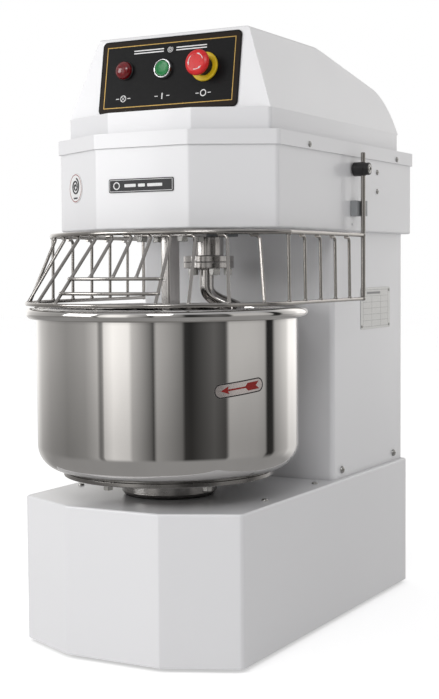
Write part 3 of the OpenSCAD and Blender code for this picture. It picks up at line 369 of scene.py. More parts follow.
def finish_piece(name, shape, slot, node=None, ink=None, body="machine", crisp=35):
    """Turns a bmesh into a piece with smooth faces and crisp edges, and settles it in the frame."""
    bmesh.ops.recalc_face_normals(shape, faces=shape.faces)
    mesh = bpy.data.meshes.new(name)
    shape.to_mesh(mesh)
    shape.free()
    mesh.shade_smooth()
    mesh.set_sharp_from_angle(angle=math.radians(crisp))
    mesh.materials.append(PAINTS[ink or slot])
    piece = bpy.data.objects.new(name, mesh)
    bpy.context.scene.collection.objects.link(piece)
    weigh = piece.modifiers.new("flat faces stay flat", "WEIGHTED_NORMAL")
    weigh.keep_sharp = True
    if node:
        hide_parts(node)
    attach(piece, body)


def part_mesh(node):
    """A node's mesh as a bmesh with its split corners joined."""
    shape = bmesh.new()
    shape.from_mesh(NODES[node].data)
    bmesh.ops.remove_doubles(shape, verts=shape.verts, dist=1e-5)
    return shape


def box_of(points):
    low = Vector([min(p[axis] for p in points) for axis in range(3)])
    high = Vector([max(p[axis] for p in points) for axis in range(3)])
    return low, high


def islands(items, neighbours):
    """Groups of the items that are joined to each other through their neighbours."""
    unseen = dict.fromkeys(items)
    groups = []
    while unseen:
        group = [unseen.popitem()[0]]
        for item in group:
            for other in neighbours(item):
                if other in unseen:
                    del unseen[other]
                    group.append(other)
        groups.append(group)
    return groups


def solids(node):
    """Lowest and highest corners of each separate solid in a node."""
    shape = part_mesh(node)
    groups = islands(shape.verts, lambda corner: [edge.other_vert(corner) for edge in corner.link_edges])
    boxes = [box_of([corner.co.copy() for corner in group]) for group in groups]
    shape.free()
    return sorted(boxes, key=lambda box: [round(part, 4) for part in box[0]])


def box_along(node, place):
    """A node's box in the axes of a placement."""
    back = place.inverted()
    return box_of([back @ corner.co for corner in NODES[node].data.vertices])


def facing(at, out):
    """Placement whose Z axis points along out."""
    return Matrix.Translation(at) @ Vector(out).to_track_quat("Z", "X").to_matrix().to_4x4()


def upright(joint, height=0.0):
    """Placement on a joint's upright axis, at a height."""
    axis = JOINTS[joint]["pos_m"]
    return Matrix.Translation((axis[0], axis[1], height))


def polar(radius, angle, height=0.0):
    return Vector((radius * math.cos(angle), radius * math.sin(angle), height))


def skin(shape, rings, closed=False, capped=False):
    """Joins rings of corners with faces. A ring may be one corner, as at the tip of a cone."""
    pairs = list(zip(rings, rings[1:]))
    if closed:
        pairs.append((rings[-1], rings[0]))
    for first, second in pairs:
        steps = max(len(first), len(second))
        for k in range(steps):
            after = (k + 1) % steps
            corners = dict.fromkeys((first[k % len(first)], first[after % len(first)],
                                     second[after % len(second)], second[k % len(second)]))
            if len(corners) > 2:
                shape.faces.new(list(corners))
    if capped:
        shape.faces.new(rings[0][::-1])
        shape.faces.new(rings[-1])
    return shape


def rounded(points, radius, steps=4, closed=False):
    """An outline or path with its corners turned into arcs. The radius may be a list, one for each point."""
    points = [Vector(p) for p in points]
    count = len(points)
    radii = radius if isinstance(radius, (list, tuple)) else [radius] * count
    nearly_straight = math.radians(89)
    made = []
    for i, here in enumerate(points):
        at_end = not closed and i in (0, count - 1)
        if at_end or radii[i] == 0:
            made.append(here)
            continue
        before = (points[i - 1] - here).normalized()
        after = (points[(i + 1) % count] - here).normalized()
        half = before.angle(after) / 2
        if half > nearly_straight:
            made.append(here)
            continue
        centre = here + (before + after).normalized() * radii[i] / math.sin(half)
        first = here + before * radii[i] / math.tan(half) - centre
        last = here + after * radii[i] / math.tan(half) - centre
        whole = math.pi - 2 * half
        for k in range(steps + 1):
            part = k / steps
            made.append(centre + (first * math.sin((1 - part) * whole) + last * math.sin(part * whole))
                        / math.sin(whole))
    return made


def turned(shape, profile, place=Matrix(), steps=64, closed=False):
    """Turns (radius, height) points round the placement's Z axis. A radius may be a function of the angle."""
    rings = []
    for radius, height in profile:
        on_axis = not callable(radius) and radius < 1e-7
        ring = []
        for k in range(1 if on_axis else steps):
            angle = 2 * math.pi * k / steps
            reach = radius(angle) if callable(radius) else radius
            ring.append(shape.verts.new(place @ polar(reach, angle, height)))
        rings.append(ring)
    return skin(shape, rings, closed)


def swept(shape, path, radius, sides=14):
    """A round rod along a path. The radius may be a list, one for each point of the path."""
    count = len(path)
    radii = radius if isinstance(radius, list) else [radius] * count
    aside = None
    rings = []
    for i, here in enumerate(path):
        along = (path[min(i + 1, count - 1)] - path[max(i - 1, 0)]).normalized()
        aside = along.orthogonal() if aside is None else aside - along * aside.dot(along)
        aside.normalize()
        across = along.cross(aside)
        turns = [2 * math.pi * k / sides for k in range(sides)]
        rings.append([shape.verts.new(here + radii[i] * (aside * math.cos(turn) + across * math.sin(turn)))
                      for turn in turns])
    return skin(shape, rings, capped=True)


def slab(shape, outline, low, high, place=Matrix(), edge=0.0):
    """A flat piece between two heights with a small chamfer round its upper edge."""
    outline = [Vector(p).to_2d() for p in outline]
    middle = sum(outline, Vector((0, 0))) / len(outline)
    size = max((p - middle).length for p in outline)
    levels = [(low, 0), (high - edge, 0), (high, edge)] if edge else [(low, 0), (high, 0)]
    rings = []
    for height, inset in levels:
        shrink = 1 - inset / size
        rings.append([shape.verts.new(place @ Vector((*(middle + (p - middle) * shrink), height)))
                      for p in outline])
    return skin(shape, rings, capped=True)


def ribbon(shape, outline, width, low, high, place=Matrix()):
    """A closed band of even width that follows an outline, such as a printed frame."""
    outline = [Vector(p).to_2d() for p in outline]
    edges = []
    for side in (-0.5, 0.5):
        line = []
        for k, here in enumerate(outline):
            before = (here - outline[k - 1]).normalized()
            after = (outline[(k + 1) % len(outline)] - here).normalized()
            out = Vector((before.y + after.y, -before.x - after.x)).normalized()
            reach = side * width / max(out.dot(Vector((after.y, -after.x))), 0.3)
            line.append(here + out * reach)
        edges.append(line)
    rings = [[shape.verts.new(place @ Vector((*p, height))) for p in line]
             for line, height in ((edges[0], low), (edges[0], high), (edges[1], high), (edges[1], low))]
    return skin(shape, rings, closed=True)


def rectangle(width, height, centre=(0, 0)):
    return [(centre[0] + x * width / 2, centre[1] + y * height / 2)
            for x, y in ((-1, -1), (1, -1), (1, 1), (-1, 1))]


def circle(radius, centre=(0, 0), steps=40):
    return [(centre[0] + radius * math.cos(2 * math.pi * k / steps),
             centre[1] + radius * math.sin(2 * math.pi * k / steps)) for k in range(steps)]


def flat_spiral(shape, place, up, out, start, growth, turns, points, radius):
    """A rod wound flat about a point up the placement, whose reach grows from its start, in millimetres."""
    path = []
    for k in range(points):
        turn = 2 * math.pi * turns * k / (points - 1)
        reach = (start + growth * k / (points - 1)) * MM
        path.append(place @ Vector((reach * math.cos(turn), up + reach * math.sin(turn), out)))
    return swept(shape, path, radius, 8)


def bead(shape, centre, radius, flat=1.0):
    """A weld bead: a slightly uneven ball."""
    ball = bmesh.ops.create_icosphere(shape, subdivisions=2, radius=1.0)["verts"]
    for corner in ball:
        wobble = 1 + 0.12 * noise.noise(corner.co * 1.7 + centre * 90)
        corner.co = centre + Vector((corner.co.x, corner.co.y, corner.co.z * flat)) * radius * wobble


# ---------- sheet-metal shells ----------

def smooth_areas(shape, limit):
    """Mean width of the smooth area that each face belongs to."""
    def is_crease(edge):
        return len(edge.link_faces) != 2 or edge.calc_face_angle() > limit

    width_of = {}
    for area in islands(shape.faces, lambda face: [other for edge in face.edges if not is_crease(edge)
                                                   for other in edge.link_faces]):
        surface = sum(face.calc_area() for face in area)
        border = sum(edge.calc_length() for face in area for edge in face.edges if is_crease(edge))
        width_of.update(dict.fromkeys(area, 2 * surface / max(border, 1e-9)))
    return width_of


def ease(shape, edges, width, segments):
    bmesh.ops.bevel(shape, geom=edges, offset=width, offset_type="OFFSET", segments=segments, profile=0.5,
                    affect="EDGES", clamp_overlap=True)


def soften(node, fold, body="machine"):
    """Stands in for a node, with the folds between broad faces rounded and other sharp edges eased."""
    shape = part_mesh(node)
    bmesh.ops.dissolve_limit(shape, angle_limit=math.radians(0.5), verts=shape.verts, edges=shape.edges,
                             use_dissolve_boundaries=False)
    limit = math.radians(25)
    broad = 8 * MM
    width_of = smooth_areas(shape, limit)
    folds = [edge for edge in shape.edges if len(edge.link_faces) == 2 and edge.calc_face_angle() > limit
             and min(width_of[face] for face in edge.link_faces) > broad]
    ease(shape, folds, fold, 4)
    cuts = [edge for edge in shape.edges
            if len(edge.link_faces) == 2 and edge.calc_face_angle() > math.radians(40)]
    ease(shape, cuts, 0.4 * MM, 1)
    finish_piece(node + "_finished", shape, SLOT_OF[node], node, body=body)


def make_shells():
    """The sheet metal and bars, with each one's fold width in millimetres.

    No folds are found on the two column pieces, and the top cover's come out 0.004 wide, so they look sharp.
    """
    folds = {"base_housing": 3.5, "column_shell": 0, "head_casing": 3, "top_cover": 2.6,
             "column_back_cover": 0, "guard_stops": 0.8, "breaker_bar": 1.6}
    for node, fold in folds.items():
        soften(node, fold * MM)
    soften("hook_spindle", 0.9 * MM, "hook")


def make_louvres():
    """Pressed hoods over the vent slots of the back cover, in two columns."""
    low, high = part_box("column_back_cover")
    rows, pitch, column_x = 9, 14 * MM, 60 * MM
    first = (low.z + high.z) / 2 - 60 * MM
    half, ramp = 46 * MM, 5 * MM
    depth, tall, sheet = 4.5 * MM, 9 * MM, 0.8 * MM
    turns = [math.radians(18 * k) for k in range(6)]
    hood = [(depth * math.sin(turn), tall * math.cos(turn)) for turn in turns]
    shape = bmesh.new()
    for row in range(rows):
        base = first + row * pitch
        for x in (-column_x, column_x):
            sections = [(x - half, 0), (x - half + ramp, 1), (x + half - ramp, 1), (x + half, 0)]
            outer, inner = [
                [[shape.verts.new((across, high.y + max(out * swell - inset, -inset), base + up - inset))
                  for out, up in hood] for across, swell in sections] for inset in (0, sheet)]
            for side in (outer, inner):
                for a, b in zip(side, side[1:]):
                    for k in range(len(hood) - 1):
                        shape.faces.new((a[k], a[k + 1], b[k + 1], b[k]))
            for a, b, c, d in zip(outer, outer[1:], inner, inner[1:]):
                shape.faces.new((a[-1], b[-1], d[-1], c[-1]))
                shape.faces.new((a[0], b[0], d[0], c[0]))
    finish_piece("back_cover_louvres", shape, "back_panel_paint", crisp=50)


# ---------- fasteners ----------

def hexagon(across):
    """Radius of a hexagon at an angle, from its width across the flats."""
    return lambda angle: across / 2 / math.cos((angle + math.pi / 6) % (math.pi / 3) - math.pi / 6)


def cross_recess(arm, width):
    """Radius of a cross at an angle, from the length and width of its arms."""
    def radius(angle):
        turn = abs((angle + math.pi / 4) % (math.pi / 2) - math.pi / 4)
        return min(arm, width / 2 / max(math.sin(turn), 1e-3))
    return radius


def pan_head(shape, place, radius, height):
    """Domed screw head with a cross recess. The placement's Z axis points out of the work."""
    recess = cross_recess(radius * 0.52, radius * 0.22)
    small = cross_recess(radius * 0.34, radius * 0.14)
    turned(shape, [(0, 0), (radius, 0), (radius, height * 0.25), (radius * 0.93, height * 0.62),
                   (radius * 0.78, height * 0.88), (radius * 0.6, height), (recess, height * 0.99),
                   (small, height * 0.35), (0, height * 0.3)], place, 48)


def hex_head(shape, place, across, height):
    """Hexagon head with a turned chamfer and its washer face."""
    corner = across / 2 / math.cos(math.pi / 6)
    face = hexagon(across)
    turned(shape, [(0, 0), (across * 0.47, 0), (across * 0.47, 0.4 * MM), (face, 0.45 * MM),
                   (face, height - 0.13 * corner),
                   (lambda a: min(face(a), across * 0.53), height - 0.05 * corner),
                   (across * 0.46, height), (across * 0.3, height - 0.15 * MM), (0, height - 0.15 * MM)],
           place, 48)


# For each head: the shank's radius as a part of the head's size, its overlap with the head, and its sides
SHANKS = {pan_head: (0.5, 0.05 * MM, 16), hex_head: (0.3, 0.1 * MM, 20)}


def sideways(middle):
    return math.copysign(1, middle.x), 0, 0


def make_fasteners():
    """Detailed heads and shanks for each node of screws or bolts, facing the way they are driven from."""
    up, back, down = (0, 0, 1), (0, 1, 0), (0, 0, -1)
    for node, head, size, height, way, body in (
            ("base_top_screws", pan_head, 5, 3, up, "machine"),
            ("back_cover_screws", pan_head, 4.5, 2.5, back, "machine"),
            ("column_screws", pan_head, 6, 4, sideways, "machine"),
            ("head_screws", pan_head, 4.5, 2.1, sideways, "machine"),
            ("turntable_bolts", hex_head, 13, 8, down, "bowl"),
            ("breaker_bolts", hex_head, 16, 8, down, "machine"),
            ("hook_bolts", hex_head, 13, 11, down, "hook")):
        thickness, overlap, sides = SHANKS[head]
        shape = bmesh.new()
        for low, high in solids(node):
            middle = (low + high) / 2
            out = Vector(way(middle) if callable(way) else way)
            length = abs((high - low).dot(out))
            seat = middle + out * (length / 2 - height * MM)
            head(shape, facing(seat, out), size * MM, height * MM)
            swept(shape, [seat + out * overlap, seat - out * (length - height * MM)],
                  size * MM * thickness, sides)
        finish_piece(node[:-1] + "_heads", shape, "zinc_fasteners", node, body=body)


# ---------- bowl ----------

def make_bowl():
    """The spun bowl: floor, round corner and wall, with its rim curled outwards into a tube."""
    low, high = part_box("bowl")
    sheet, roll, corner = 2 * MM, 9 * MM, 39 * MM
    middle = sheet / 2
    wall = high.x - 2 * roll + sheet
    rim = high.z - roll
    path = rounded([(0, low.z + middle), (wall - middle, low.z + middle), (wall - middle, rim)],
                   [0, corner - middle, 0], 16)
    reach = roll - middle
    centre = Vector((wall - middle + reach, rim))
    for k in range(1, 31):
        turn = math.radians(180 - 10.6 * k)
        curl = reach * (1 - 0.0035 * k)
        path.append(centre + curl * Vector((math.cos(turn), math.sin(turn))))
    outer = []
    inner = []
    for k, here in enumerate(path):
        along = (path[min(k + 1, len(path) - 1)] - path[max(k - 1, 0)]).normalized()
        out = Vector((along.y, -along.x)) * middle
        outer.append(here + out)
        inner.append(here - out)
    outer[0].x = inner[0].x = 0
    shape = turned(bmesh.new(), outer + inner[::-1], upright("bowl_spin"), 192)
    finish_piece("bowl_shell", shape, "polished_bowl", "bowl", body="bowl", crisp=60)


def make_turntable():
    """The turned disc under the bowl with its register groove, and the hub below it."""
    low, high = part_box("turntable")
    disc, top, bottom = high.x, high.z, low.z
    under = top - 10 * MM
    hub, bore = 74 * MM, 22.6 * MM
    profile = rounded([(bore, top), (disc - 2.2 * MM, top), (disc - 2.2 * MM, top - 3 * MM),
                       (disc, top - 3.6 * MM), (disc, under), (hub + 6 * MM, under),
                       (hub, under - 6 * MM), (hub, bottom + 4 * MM), (hub - 3 * MM, bottom), (bore, bottom)],
                      [0, 1 * MM, 0.3 * MM, 1 * MM, 1.4 * MM, 0, 2 * MM, 0, 0, 0], 4)
    shape = turned(bmesh.new(), profile, upright("bowl_spin"), 160, closed=True)
    finish_piece("turntable_disc", shape, "machined_steel", "turntable", body="bowl")


def make_direction_sticker():
    """The arrow sticker on the bowl wall that shows which way it turns, wrapped to the wall."""
    axis = Vector(JOINTS["bowl_spin"]["pos_m"])
    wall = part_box("bowl")[1].x - 16 * MM
    middle_turn, height, tilt = math.radians(61.3), 0.4065, math.radians(6)
    long, tall = 84 * MM, 21 * MM

    def wrap(name, outlines, low, high, ink, width=None):
        """Flat outlines, filled or drawn as lines of a width, bent round the wall."""
        shape = bmesh.new()
        for points in outlines:
            if width:
                ribbon(shape, points, width, low, high)
            else:
                slab(shape, points, low, high)
        fine = [edge for edge in shape.edges if abs(edge.verts[0].co.x - edge.verts[1].co.x) > 8 * MM]
        bmesh.ops.subdivide_edges(shape, edges=fine, cuts=10, use_grid_fill=True)
        bmesh.ops.triangulate(shape, faces=[face for face in shape.faces if len(face.verts) > 4],
                              ngon_method="EAR_CLIP")
        for corner in shape.verts:
            x, y, out = corner.co
            across = x * math.cos(tilt) - y * math.sin(tilt)
            up = x * math.sin(tilt) + y * math.cos(tilt)
            turn = middle_turn + across / wall
            reach = wall + out
            corner.co = (axis.x + reach * math.sin(turn), axis.y - reach * math.cos(turn), height + up)
        finish_piece(name, shape, "label_metal", ink=ink, body="bowl")

    pill = rounded(rectangle(long, tall), 10 * MM, 8, True)
    ring = rounded(rectangle(long - 2 * MM, tall - 2 * MM), 9 * MM, 8, True)
    wrap("direction_sticker", [pill], -0.3 * MM, 0.15 * MM, "sticker_film")
    wrap("direction_sticker_border", [ring], 0.1 * MM, 0.25 * MM, "dark_ink", 1.7 * MM)
    tip = -long / 2 + 10 * MM
    shapes = [rectangle(40 * MM, 2.4 * MM, (tip + 30 * MM, 0))]
    for side in (-1, 1):
        half = side * 5.6 * MM
        shapes.append([(tip, 0), (tip + 13 * MM, half), (tip + 11 * MM, 0)][::side])
        shapes.append([(8 * MM, 0), (13 * MM, half), (34 * MM, half), (28 * MM, 0)][::side])
    wrap("direction_arrow", shapes, 0.1 * MM, 0.28 * MM, "red_ink")


# ---------- guard ----------

# Radii of the guard's rings, thin wires and posts
TOP_WIRE = 3.5 * MM
LOW_WIRE = 3 * MM
THIN_WIRE = 2.5 * MM
POST = 3.75 * MM
# Front wires, from -1 at the left corner to 1 at the right one
FRONT_WIRES = [-0.72, -0.53, -0.36, -0.2, -0.07, 0.06, 0.18, 0.3, 0.44, 0.62, 0.81]
# Wires at the sides of the window, and how far down its two bars are
WINDOW = (3, 7)
WINDOW_BARS = (0.64, 0.84)
SIDE_WIRES = 4


class Guard:
    """Where the guard's rings and wires run, worked out from the frame."""

    def __init__(self):
        low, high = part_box("guard_cage")
        self.half = high.x - TOP_WIRE
        self.low = low.z + LOW_WIRE
        self.corner = low.y + LOW_WIRE + self.half
        pivot = Vector(JOINTS["guard_swing"]["pos_m"])
        self.pivot_y, self.pivot_z = pivot.y, pivot.z
        self.post_top = high.z
        near_middle = 30 * MM
        above_low_ring = (self.low + high.z) / 2 - 20 * MM
        ring = box_of([corner.co for corner in NODES["guard_cage"].data.vertices
                       if abs(corner.co.x) < near_middle and corner.co.z > above_low_ring])
        self.top = (ring[0].z + ring[1].z) / 2
        self.top_reach = self.corner - ring[0].y - TOP_WIRE

    def arc_point(self, along, part):
        """A point on the front arc, from the top ring at part 0 to the low ring at part 1."""
        reach = self.top_reach + (self.half - self.top_reach) * part
        radius = (self.half ** 2 + reach ** 2) / (2 * reach)
        turn = math.atan2(self.half, radius - reach) * along
        return Vector((radius * math.sin(turn), self.corner - reach + radius - radius * math.cos(turn),
                       self.top + (self.low - self.top) * part))

    def wire_point(self, along, part):
        return self.arc_point(along, 0).lerp(self.arc_point(along, 1), part)

    def ring(self, part):
        """Path of a ring from the left post round the front to the right post."""
        steps = 56
        path = [self.arc_point(2 * k / steps - 1, part) for k in range(steps + 1)]
        first, last = (Vector((side * self.half, self.pivot_y, path[0].z)) for side in (-1, 1))
        bend = 3 * MM
        return rounded([first, *path, last], [0, bend, *[0] * (steps - 1), bend, 0], 3)


def make_guard():
    """Rings, posts, wires bent over under the top ring, the window's bars, and a weld bead at each joint."""
    guard = Guard()
    rings = bmesh.new()
    swept(rings, guard.ring(0), TOP_WIRE, 18)
    swept(rings, guard.ring(1), LOW_WIRE, 18)
    posts = bmesh.new()
    beads = bmesh.new()
    for side in (-1, 1):
        x = side * guard.half
        foot = Vector((x, guard.pivot_y, guard.low - LOW_WIRE))
        head = Vector((x, guard.pivot_y, guard.post_top))
        edge = 0.8 * MM
        step = Vector((0, 0, edge))
        swept(posts, [foot, foot + step, head - step, head], [POST - edge, POST, POST, POST - edge], 20)
        for height, size in ((guard.top, 5.2), (guard.low, 4.8)):
            bead(beads, Vector((x, guard.pivot_y - 2 * MM, height)), size * MM, 0.8)

    wires = bmesh.new()
    bend = 7 * MM
    hook = 15 * MM
    drop = TOP_WIRE + THIN_WIRE - 1.2 * MM
    inward = 1.2 * MM
    behind = Vector((0, 0.6 * MM, -drop))
    for side in (-1, 1):
        x = side * guard.half
        for k in range(SIDE_WIRES + 1):
            y = guard.corner + (guard.pivot_y - guard.corner) * k / (SIDE_WIRES + 1)
            foot = Vector((x, y, guard.low))
            top = Vector((x - side * inward, y, guard.top - drop if k else guard.top))
            path = rounded([foot, top, top - Vector((0, hook, 0))], bend, 6) if k else [foot, top]
            swept(wires, path, THIN_WIRE)
            bead(beads, foot + Vector((0, 0, 3.2 * MM)), 3.5 * MM, 0.8)
            bead(beads, Vector((x, y - (hook * 0.8 if k else 0), guard.top - 2.6 * MM)), 3.4 * MM, 0.7)
    for number, along in enumerate(FRONT_WIRES):
        in_window = WINDOW[0] < number < WINDOW[1]
        top = guard.wire_point(along, 0) + behind
        foot = guard.wire_point(along, WINDOW_BARS[0] if in_window else 1)
        beside = guard.arc_point(along - 0.055, 0) + behind
        swept(wires, rounded([foot, top, beside], bend, 6), THIN_WIRE)
        bead(beads, foot + (top - foot).normalized() * 3.2 * MM, 3.4 * MM, 0.8)
        bead(beads, beside + Vector((0, 0, 2 * MM)), 3.2 * MM, 0.7)
    for part in WINDOW_BARS:
        first, last = (FRONT_WIRES[number] for number in WINDOW)
        path = [guard.wire_point(first + (last - first) * k / 12, part) for k in range(13)]
        swept(wires, path, THIN_WIRE)
        for end in (path[0], path[-1]):
            bead(beads, end, 3.5 * MM, 0.9)
    finish_piece("guard_rings", rings, "wire_steel", "guard_cage", body="guard")
    finish_piece("guard_posts", posts, "wire_steel", "guard_cage", body="guard")
    finish_piece("guard_thin_wires", wires, "wire_steel", "guard_wires", body="guard")
    finish_piece("guard_weld_beads", beads, "wire_steel", "guard_wires", body="guard", crisp=80)


def across_body(low, high, start):
    """Placement at a distance from the middle of the machine that points outwards, through a box's middle."""
    side = math.copysign(1, low.x + high.x)
    middle = (low + high) / 2
    return facing(Vector((side * start, middle.y, middle.z)), (side, 0, 0))


def make_hubs():
    """Black clamping hubs that carry the guard's posts, their socket-headed caps, and the pivot studs."""
    hubs = bmesh.new()
    caps = bmesh.new()
    studs = bmesh.new()
    bore, bore_end = 5.1 * MM, 9.5 * MM
    for low, high in solids("guard_hubs"):
        inner, outer = sorted((abs(low.x), abs(high.x)))
        radius = (high.z - low.z) / 2
        neck = radius * 0.88
        long = outer - inner
        turned(hubs, rounded(
            [(0, bore_end), (bore, bore_end), (bore, 0), (radius, 0), (radius, long * 0.68),
             (neck, long * 0.74), (neck, long), (0, long)],
            [0, 0, 0, 0.8 * MM, 0.6 * MM, 0.6 * MM, 0.9 * MM, 0], 3), across_body(low, high, inner), 48)
        socket = hexagon(5.4 * MM)
        turned(caps, [(0, 0), (7.6 * MM, 0), (7.6 * MM, 0.5 * MM), (7.2 * MM, 0.9 * MM), (5 * MM, 0.9 * MM),
                      (4.6 * MM, 2 * MM), (socket, 2 * MM), (socket, 0.6 * MM), (0, 0.6 * MM)],
               across_body(low, high, outer - 0.3 * MM), 48)
    pin, disc_start, disc_end = 5 * MM, 5 * MM, 11 * MM
    for low, high in solids("guard_pivot_pins"):
        inner, outer = sorted((abs(low.x), abs(high.x)))
        disc = (high.z - low.z) / 2
        turned(studs, rounded(
            [(0, 0), (pin, 0), (pin, disc_start), (disc, disc_start), (disc, disc_end),
             (pin, disc_end), (pin, outer - inner), (0, outer - inner)],
            0.3 * MM, 2), across_body(low, high, inner), 40)
    finish_piece("guard_hub_bodies", hubs, "black_plastic", "guard_hubs", body="guard")
    finish_piece("guard_hub_caps", caps, "black_plastic", ink="zinc_fasteners", body="guard")
    finish_piece("guard_pivot_studs", studs, "zinc_fasteners", "guard_pivot_pins")


# ---------- hook ----------

def make_hook():
    """The forged spiral hook: rod with a rounded tip, weld collar and bolted flange."""
    low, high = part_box("spiral_hook")
    axis = Vector(JOINTS["hook_spin"]["pos_m"])
    rod = 11.5 * MM
    coil, coil_turn, coil_top = 52 * MM, math.radians(-378), 505 * MM
    coil_foot = low.z + rod
    flange, thick = 41 * MM, 10 * MM
    flange_low = high.z - thick
    leg_foot = Vector((-1.5 * MM, -4.5 * MM, 548 * MM))

    def coil_point(part):
        return polar(coil, coil_turn * part, coil_top + (coil_foot - coil_top) * part)

    start = coil_point(0)
    handle = start - 28 * MM * (coil_point(0.01) - start).normalized()
    bend = interpolate_bezier(leg_foot, leg_foot - Vector((0, 0, 30 * MM)), handle, start, 28)
    steps = 130
    path = [Vector((leg_foot.x, leg_foot.y, flange_low + 3 * MM)), *bend]
    path += [coil_point((k + 1) / steps) for k in range(steps)]
    path = [point + Vector((axis.x, axis.y, 0)) for point in path]
    radii = []
    for k in range(len(path)):
        left = min((len(path) - 1 - k) / 9, 1)
        radii.append(rod * math.sqrt(1 - (1 - left) ** 2 * 0.93))
    shape = swept(bmesh.new(), path, radii, 32)
    turned(shape, rounded([(0, 0), (flange, 0), (flange, thick), (0, thick)], [0, 1.2 * MM, 1.2 * MM, 0], 4),
           upright("hook_spin", flange_low), 96)
    collar = path[0].copy()
    collar.z = flange_low
    beads = 26
    for k in range(beads):
        bead(shape, collar + polar(1, 2 * math.pi * k / beads) * rod * 1.02, 3 * MM, 0.9)
    finish_piece("spiral_hook_forging", shape, "tool_steel", "spiral_hook", body="hook")


# ---------- controls ----------

def face_place():
    """Placement on the control plate: X across, Y up the face, Z out of it, from the middle of the plate."""
    out = -Vector(JOINTS["start_press"]["axis"]).normalized()
    across = Vector((1, 0, 0))
    turn = Matrix((across, out.cross(across), out)).transposed().to_4x4()
    low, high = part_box("control_plate")
    middle = Matrix.Translation((low + high) / 2) @ turn
    return middle @ Matrix.Translation((0, 0, box_along("control_plate", middle)[1].z))


def centre_on_face(node):
    """Where the middle of a round node is across and up the face, and how far the node stands out."""
    low, high = box_along(node, FACE)
    return (low.x + high.x) / 2, (low.y + high.y) / 2, high.z


def place_on_face(node):
    across, up, _ = centre_on_face(node)
    return FACE @ Matrix.Translation((across, up, 0))


def turn_on_face(name, node, slot, points, radii, steps=64, ink=None, body="machine"):
    """A round piece at a node's middle, from (radius, height) points and corner radii in millimetres."""
    outline = rounded([(r * MM, z * MM) for r, z in points], [r * MM for r in radii], 5)
    shape = turned(bmesh.new(), outline, place_on_face(node), steps, closed=points[0][0] > 0)
    finish_piece(name, shape, slot, node, ink, body)


def make_plate():
    """The control plate: brown rim, black field, gold line and printed signs."""
    low, high = box_along("control_plate", FACE)
    wide, tall, thick = high - low
    shape = slab(bmesh.new(), rounded(rectangle(wide, tall), 8 * MM, 8, True), -thick, 0, FACE, 0.5 * MM)
    finish_piece("control_plate_body", shape, "control_plate_print", "control_plate", "plate_brown")
    field = rectangle(wide - 19 * MM, tall - 20 * MM)
    finish_piece("control_plate_field", slab(bmesh.new(), field, 0, 0.06 * MM, FACE), "control_plate_print")
    finish_piece("control_plate_line", ribbon(bmesh.new(), field, 1.3 * MM, 0, 0.14 * MM, FACE),
                 "control_plate_print", ink="gold_line")
    rim = rounded(rectangle(wide - 2.4 * MM, tall - 2.4 * MM), 7 * MM, 8, True)
    finish_piece("control_plate_rim", ribbon(bmesh.new(), rim, 2 * MM, 0, 0.08 * MM, FACE),
                 "control_plate_print")
    make_signs(tall)


def make_signs(tall):
    """Generic printed signs: a spiral between plain bars, and the on, off and lamp signs."""
    ink = bmesh.new()
    print_on = (0.05 * MM, 0.16 * MM, FACE)
    head = tall / 2 - 20.5 * MM
    foot = -tall / 2 + 24 * MM
    for x in (-38 * MM, 38 * MM):
        for line in (-2 * MM, 2 * MM):
            slab(ink, rounded(rectangle(54 * MM, 1.7 * MM, (x, head + line)), 0.7 * MM, 2, True), *print_on)
    flat_spiral(ink, FACE, head, print_on[0], 0.6, 4.6, 2.1, 60, 0.5 * MM)
    lamp, on, off = [(centre_on_face(node)[0], foot) for node in ("lamp_holder", "start_bezel", "stop_base")]
    ribbon(ink, circle(4.8 * MM, lamp), 1.1 * MM, *print_on)
    arm = 3.3 * MM
    for turn in (1, -1):
        swept(ink, [FACE @ Vector((lamp[0] - arm, lamp[1] - arm * turn, print_on[0])),
                    FACE @ Vector((lamp[0] + arm, lamp[1] + arm * turn, print_on[0]))], 0.42 * MM, 8)
    slab(ink, rectangle(1.9 * MM, 9.6 * MM, on), *print_on)
    ribbon(ink, circle(4.6 * MM, off), 1.5 * MM, *print_on)
    for x, y in (lamp, on, off):
        for side in (-1, 1):
            slab(ink, rectangle(5.5 * MM, 1.2 * MM, (x + side * 10.5 * MM, y)), *print_on)
    finish_piece("control_plate_signs", ink, "control_plate_print", ink="white_ink")


def make_lens():
    """The lamp's ribbed dome."""
    ribs = 36

    def ridge(angle):
        return (13.9 + 0.2 * math.cos(ribs * angle)) * MM

    turns = [math.radians(9 * k) for k in range(10)]
    dome = [(13.9 * MM * math.cos(turn), 5 * MM + 8.6 * MM * math.sin(turn)) for turn in turns]
    shape = turned(bmesh.new(), [(0, 2.2 * MM), (13.4 * MM, 2.2 * MM), (ridge, 2.6 * MM), (ridge, 4.8 * MM),
                                 *dome, (0, 13.6 * MM)], place_on_face("lamp_lens"), 144)
    finish_piece("lamp_dome", shape, "lens_red", "lamp_lens", crisp=50)


def make_turn_arrows(top):
    """Three curved arrows printed on the stop button's crown."""
    ink = bmesh.new()
    place = place_on_face("stop_button")
    for k in range(3):
        start = math.radians(120 * k + 15)
        turns = [start + math.radians(7 * n) for n in range(11)]
        path = [place @ polar(12.2 * MM, turn, (top - 0.42) * MM) for turn in turns]
        swept(ink, path, [0.55 * MM] * 7 + [1.5 * MM, 1.1 * MM, 0.6 * MM, 0.15 * MM], 8)
    finish_piece("stop_turn_arrows", ink, "stop_red", ink="white_ink", body="stop_button")


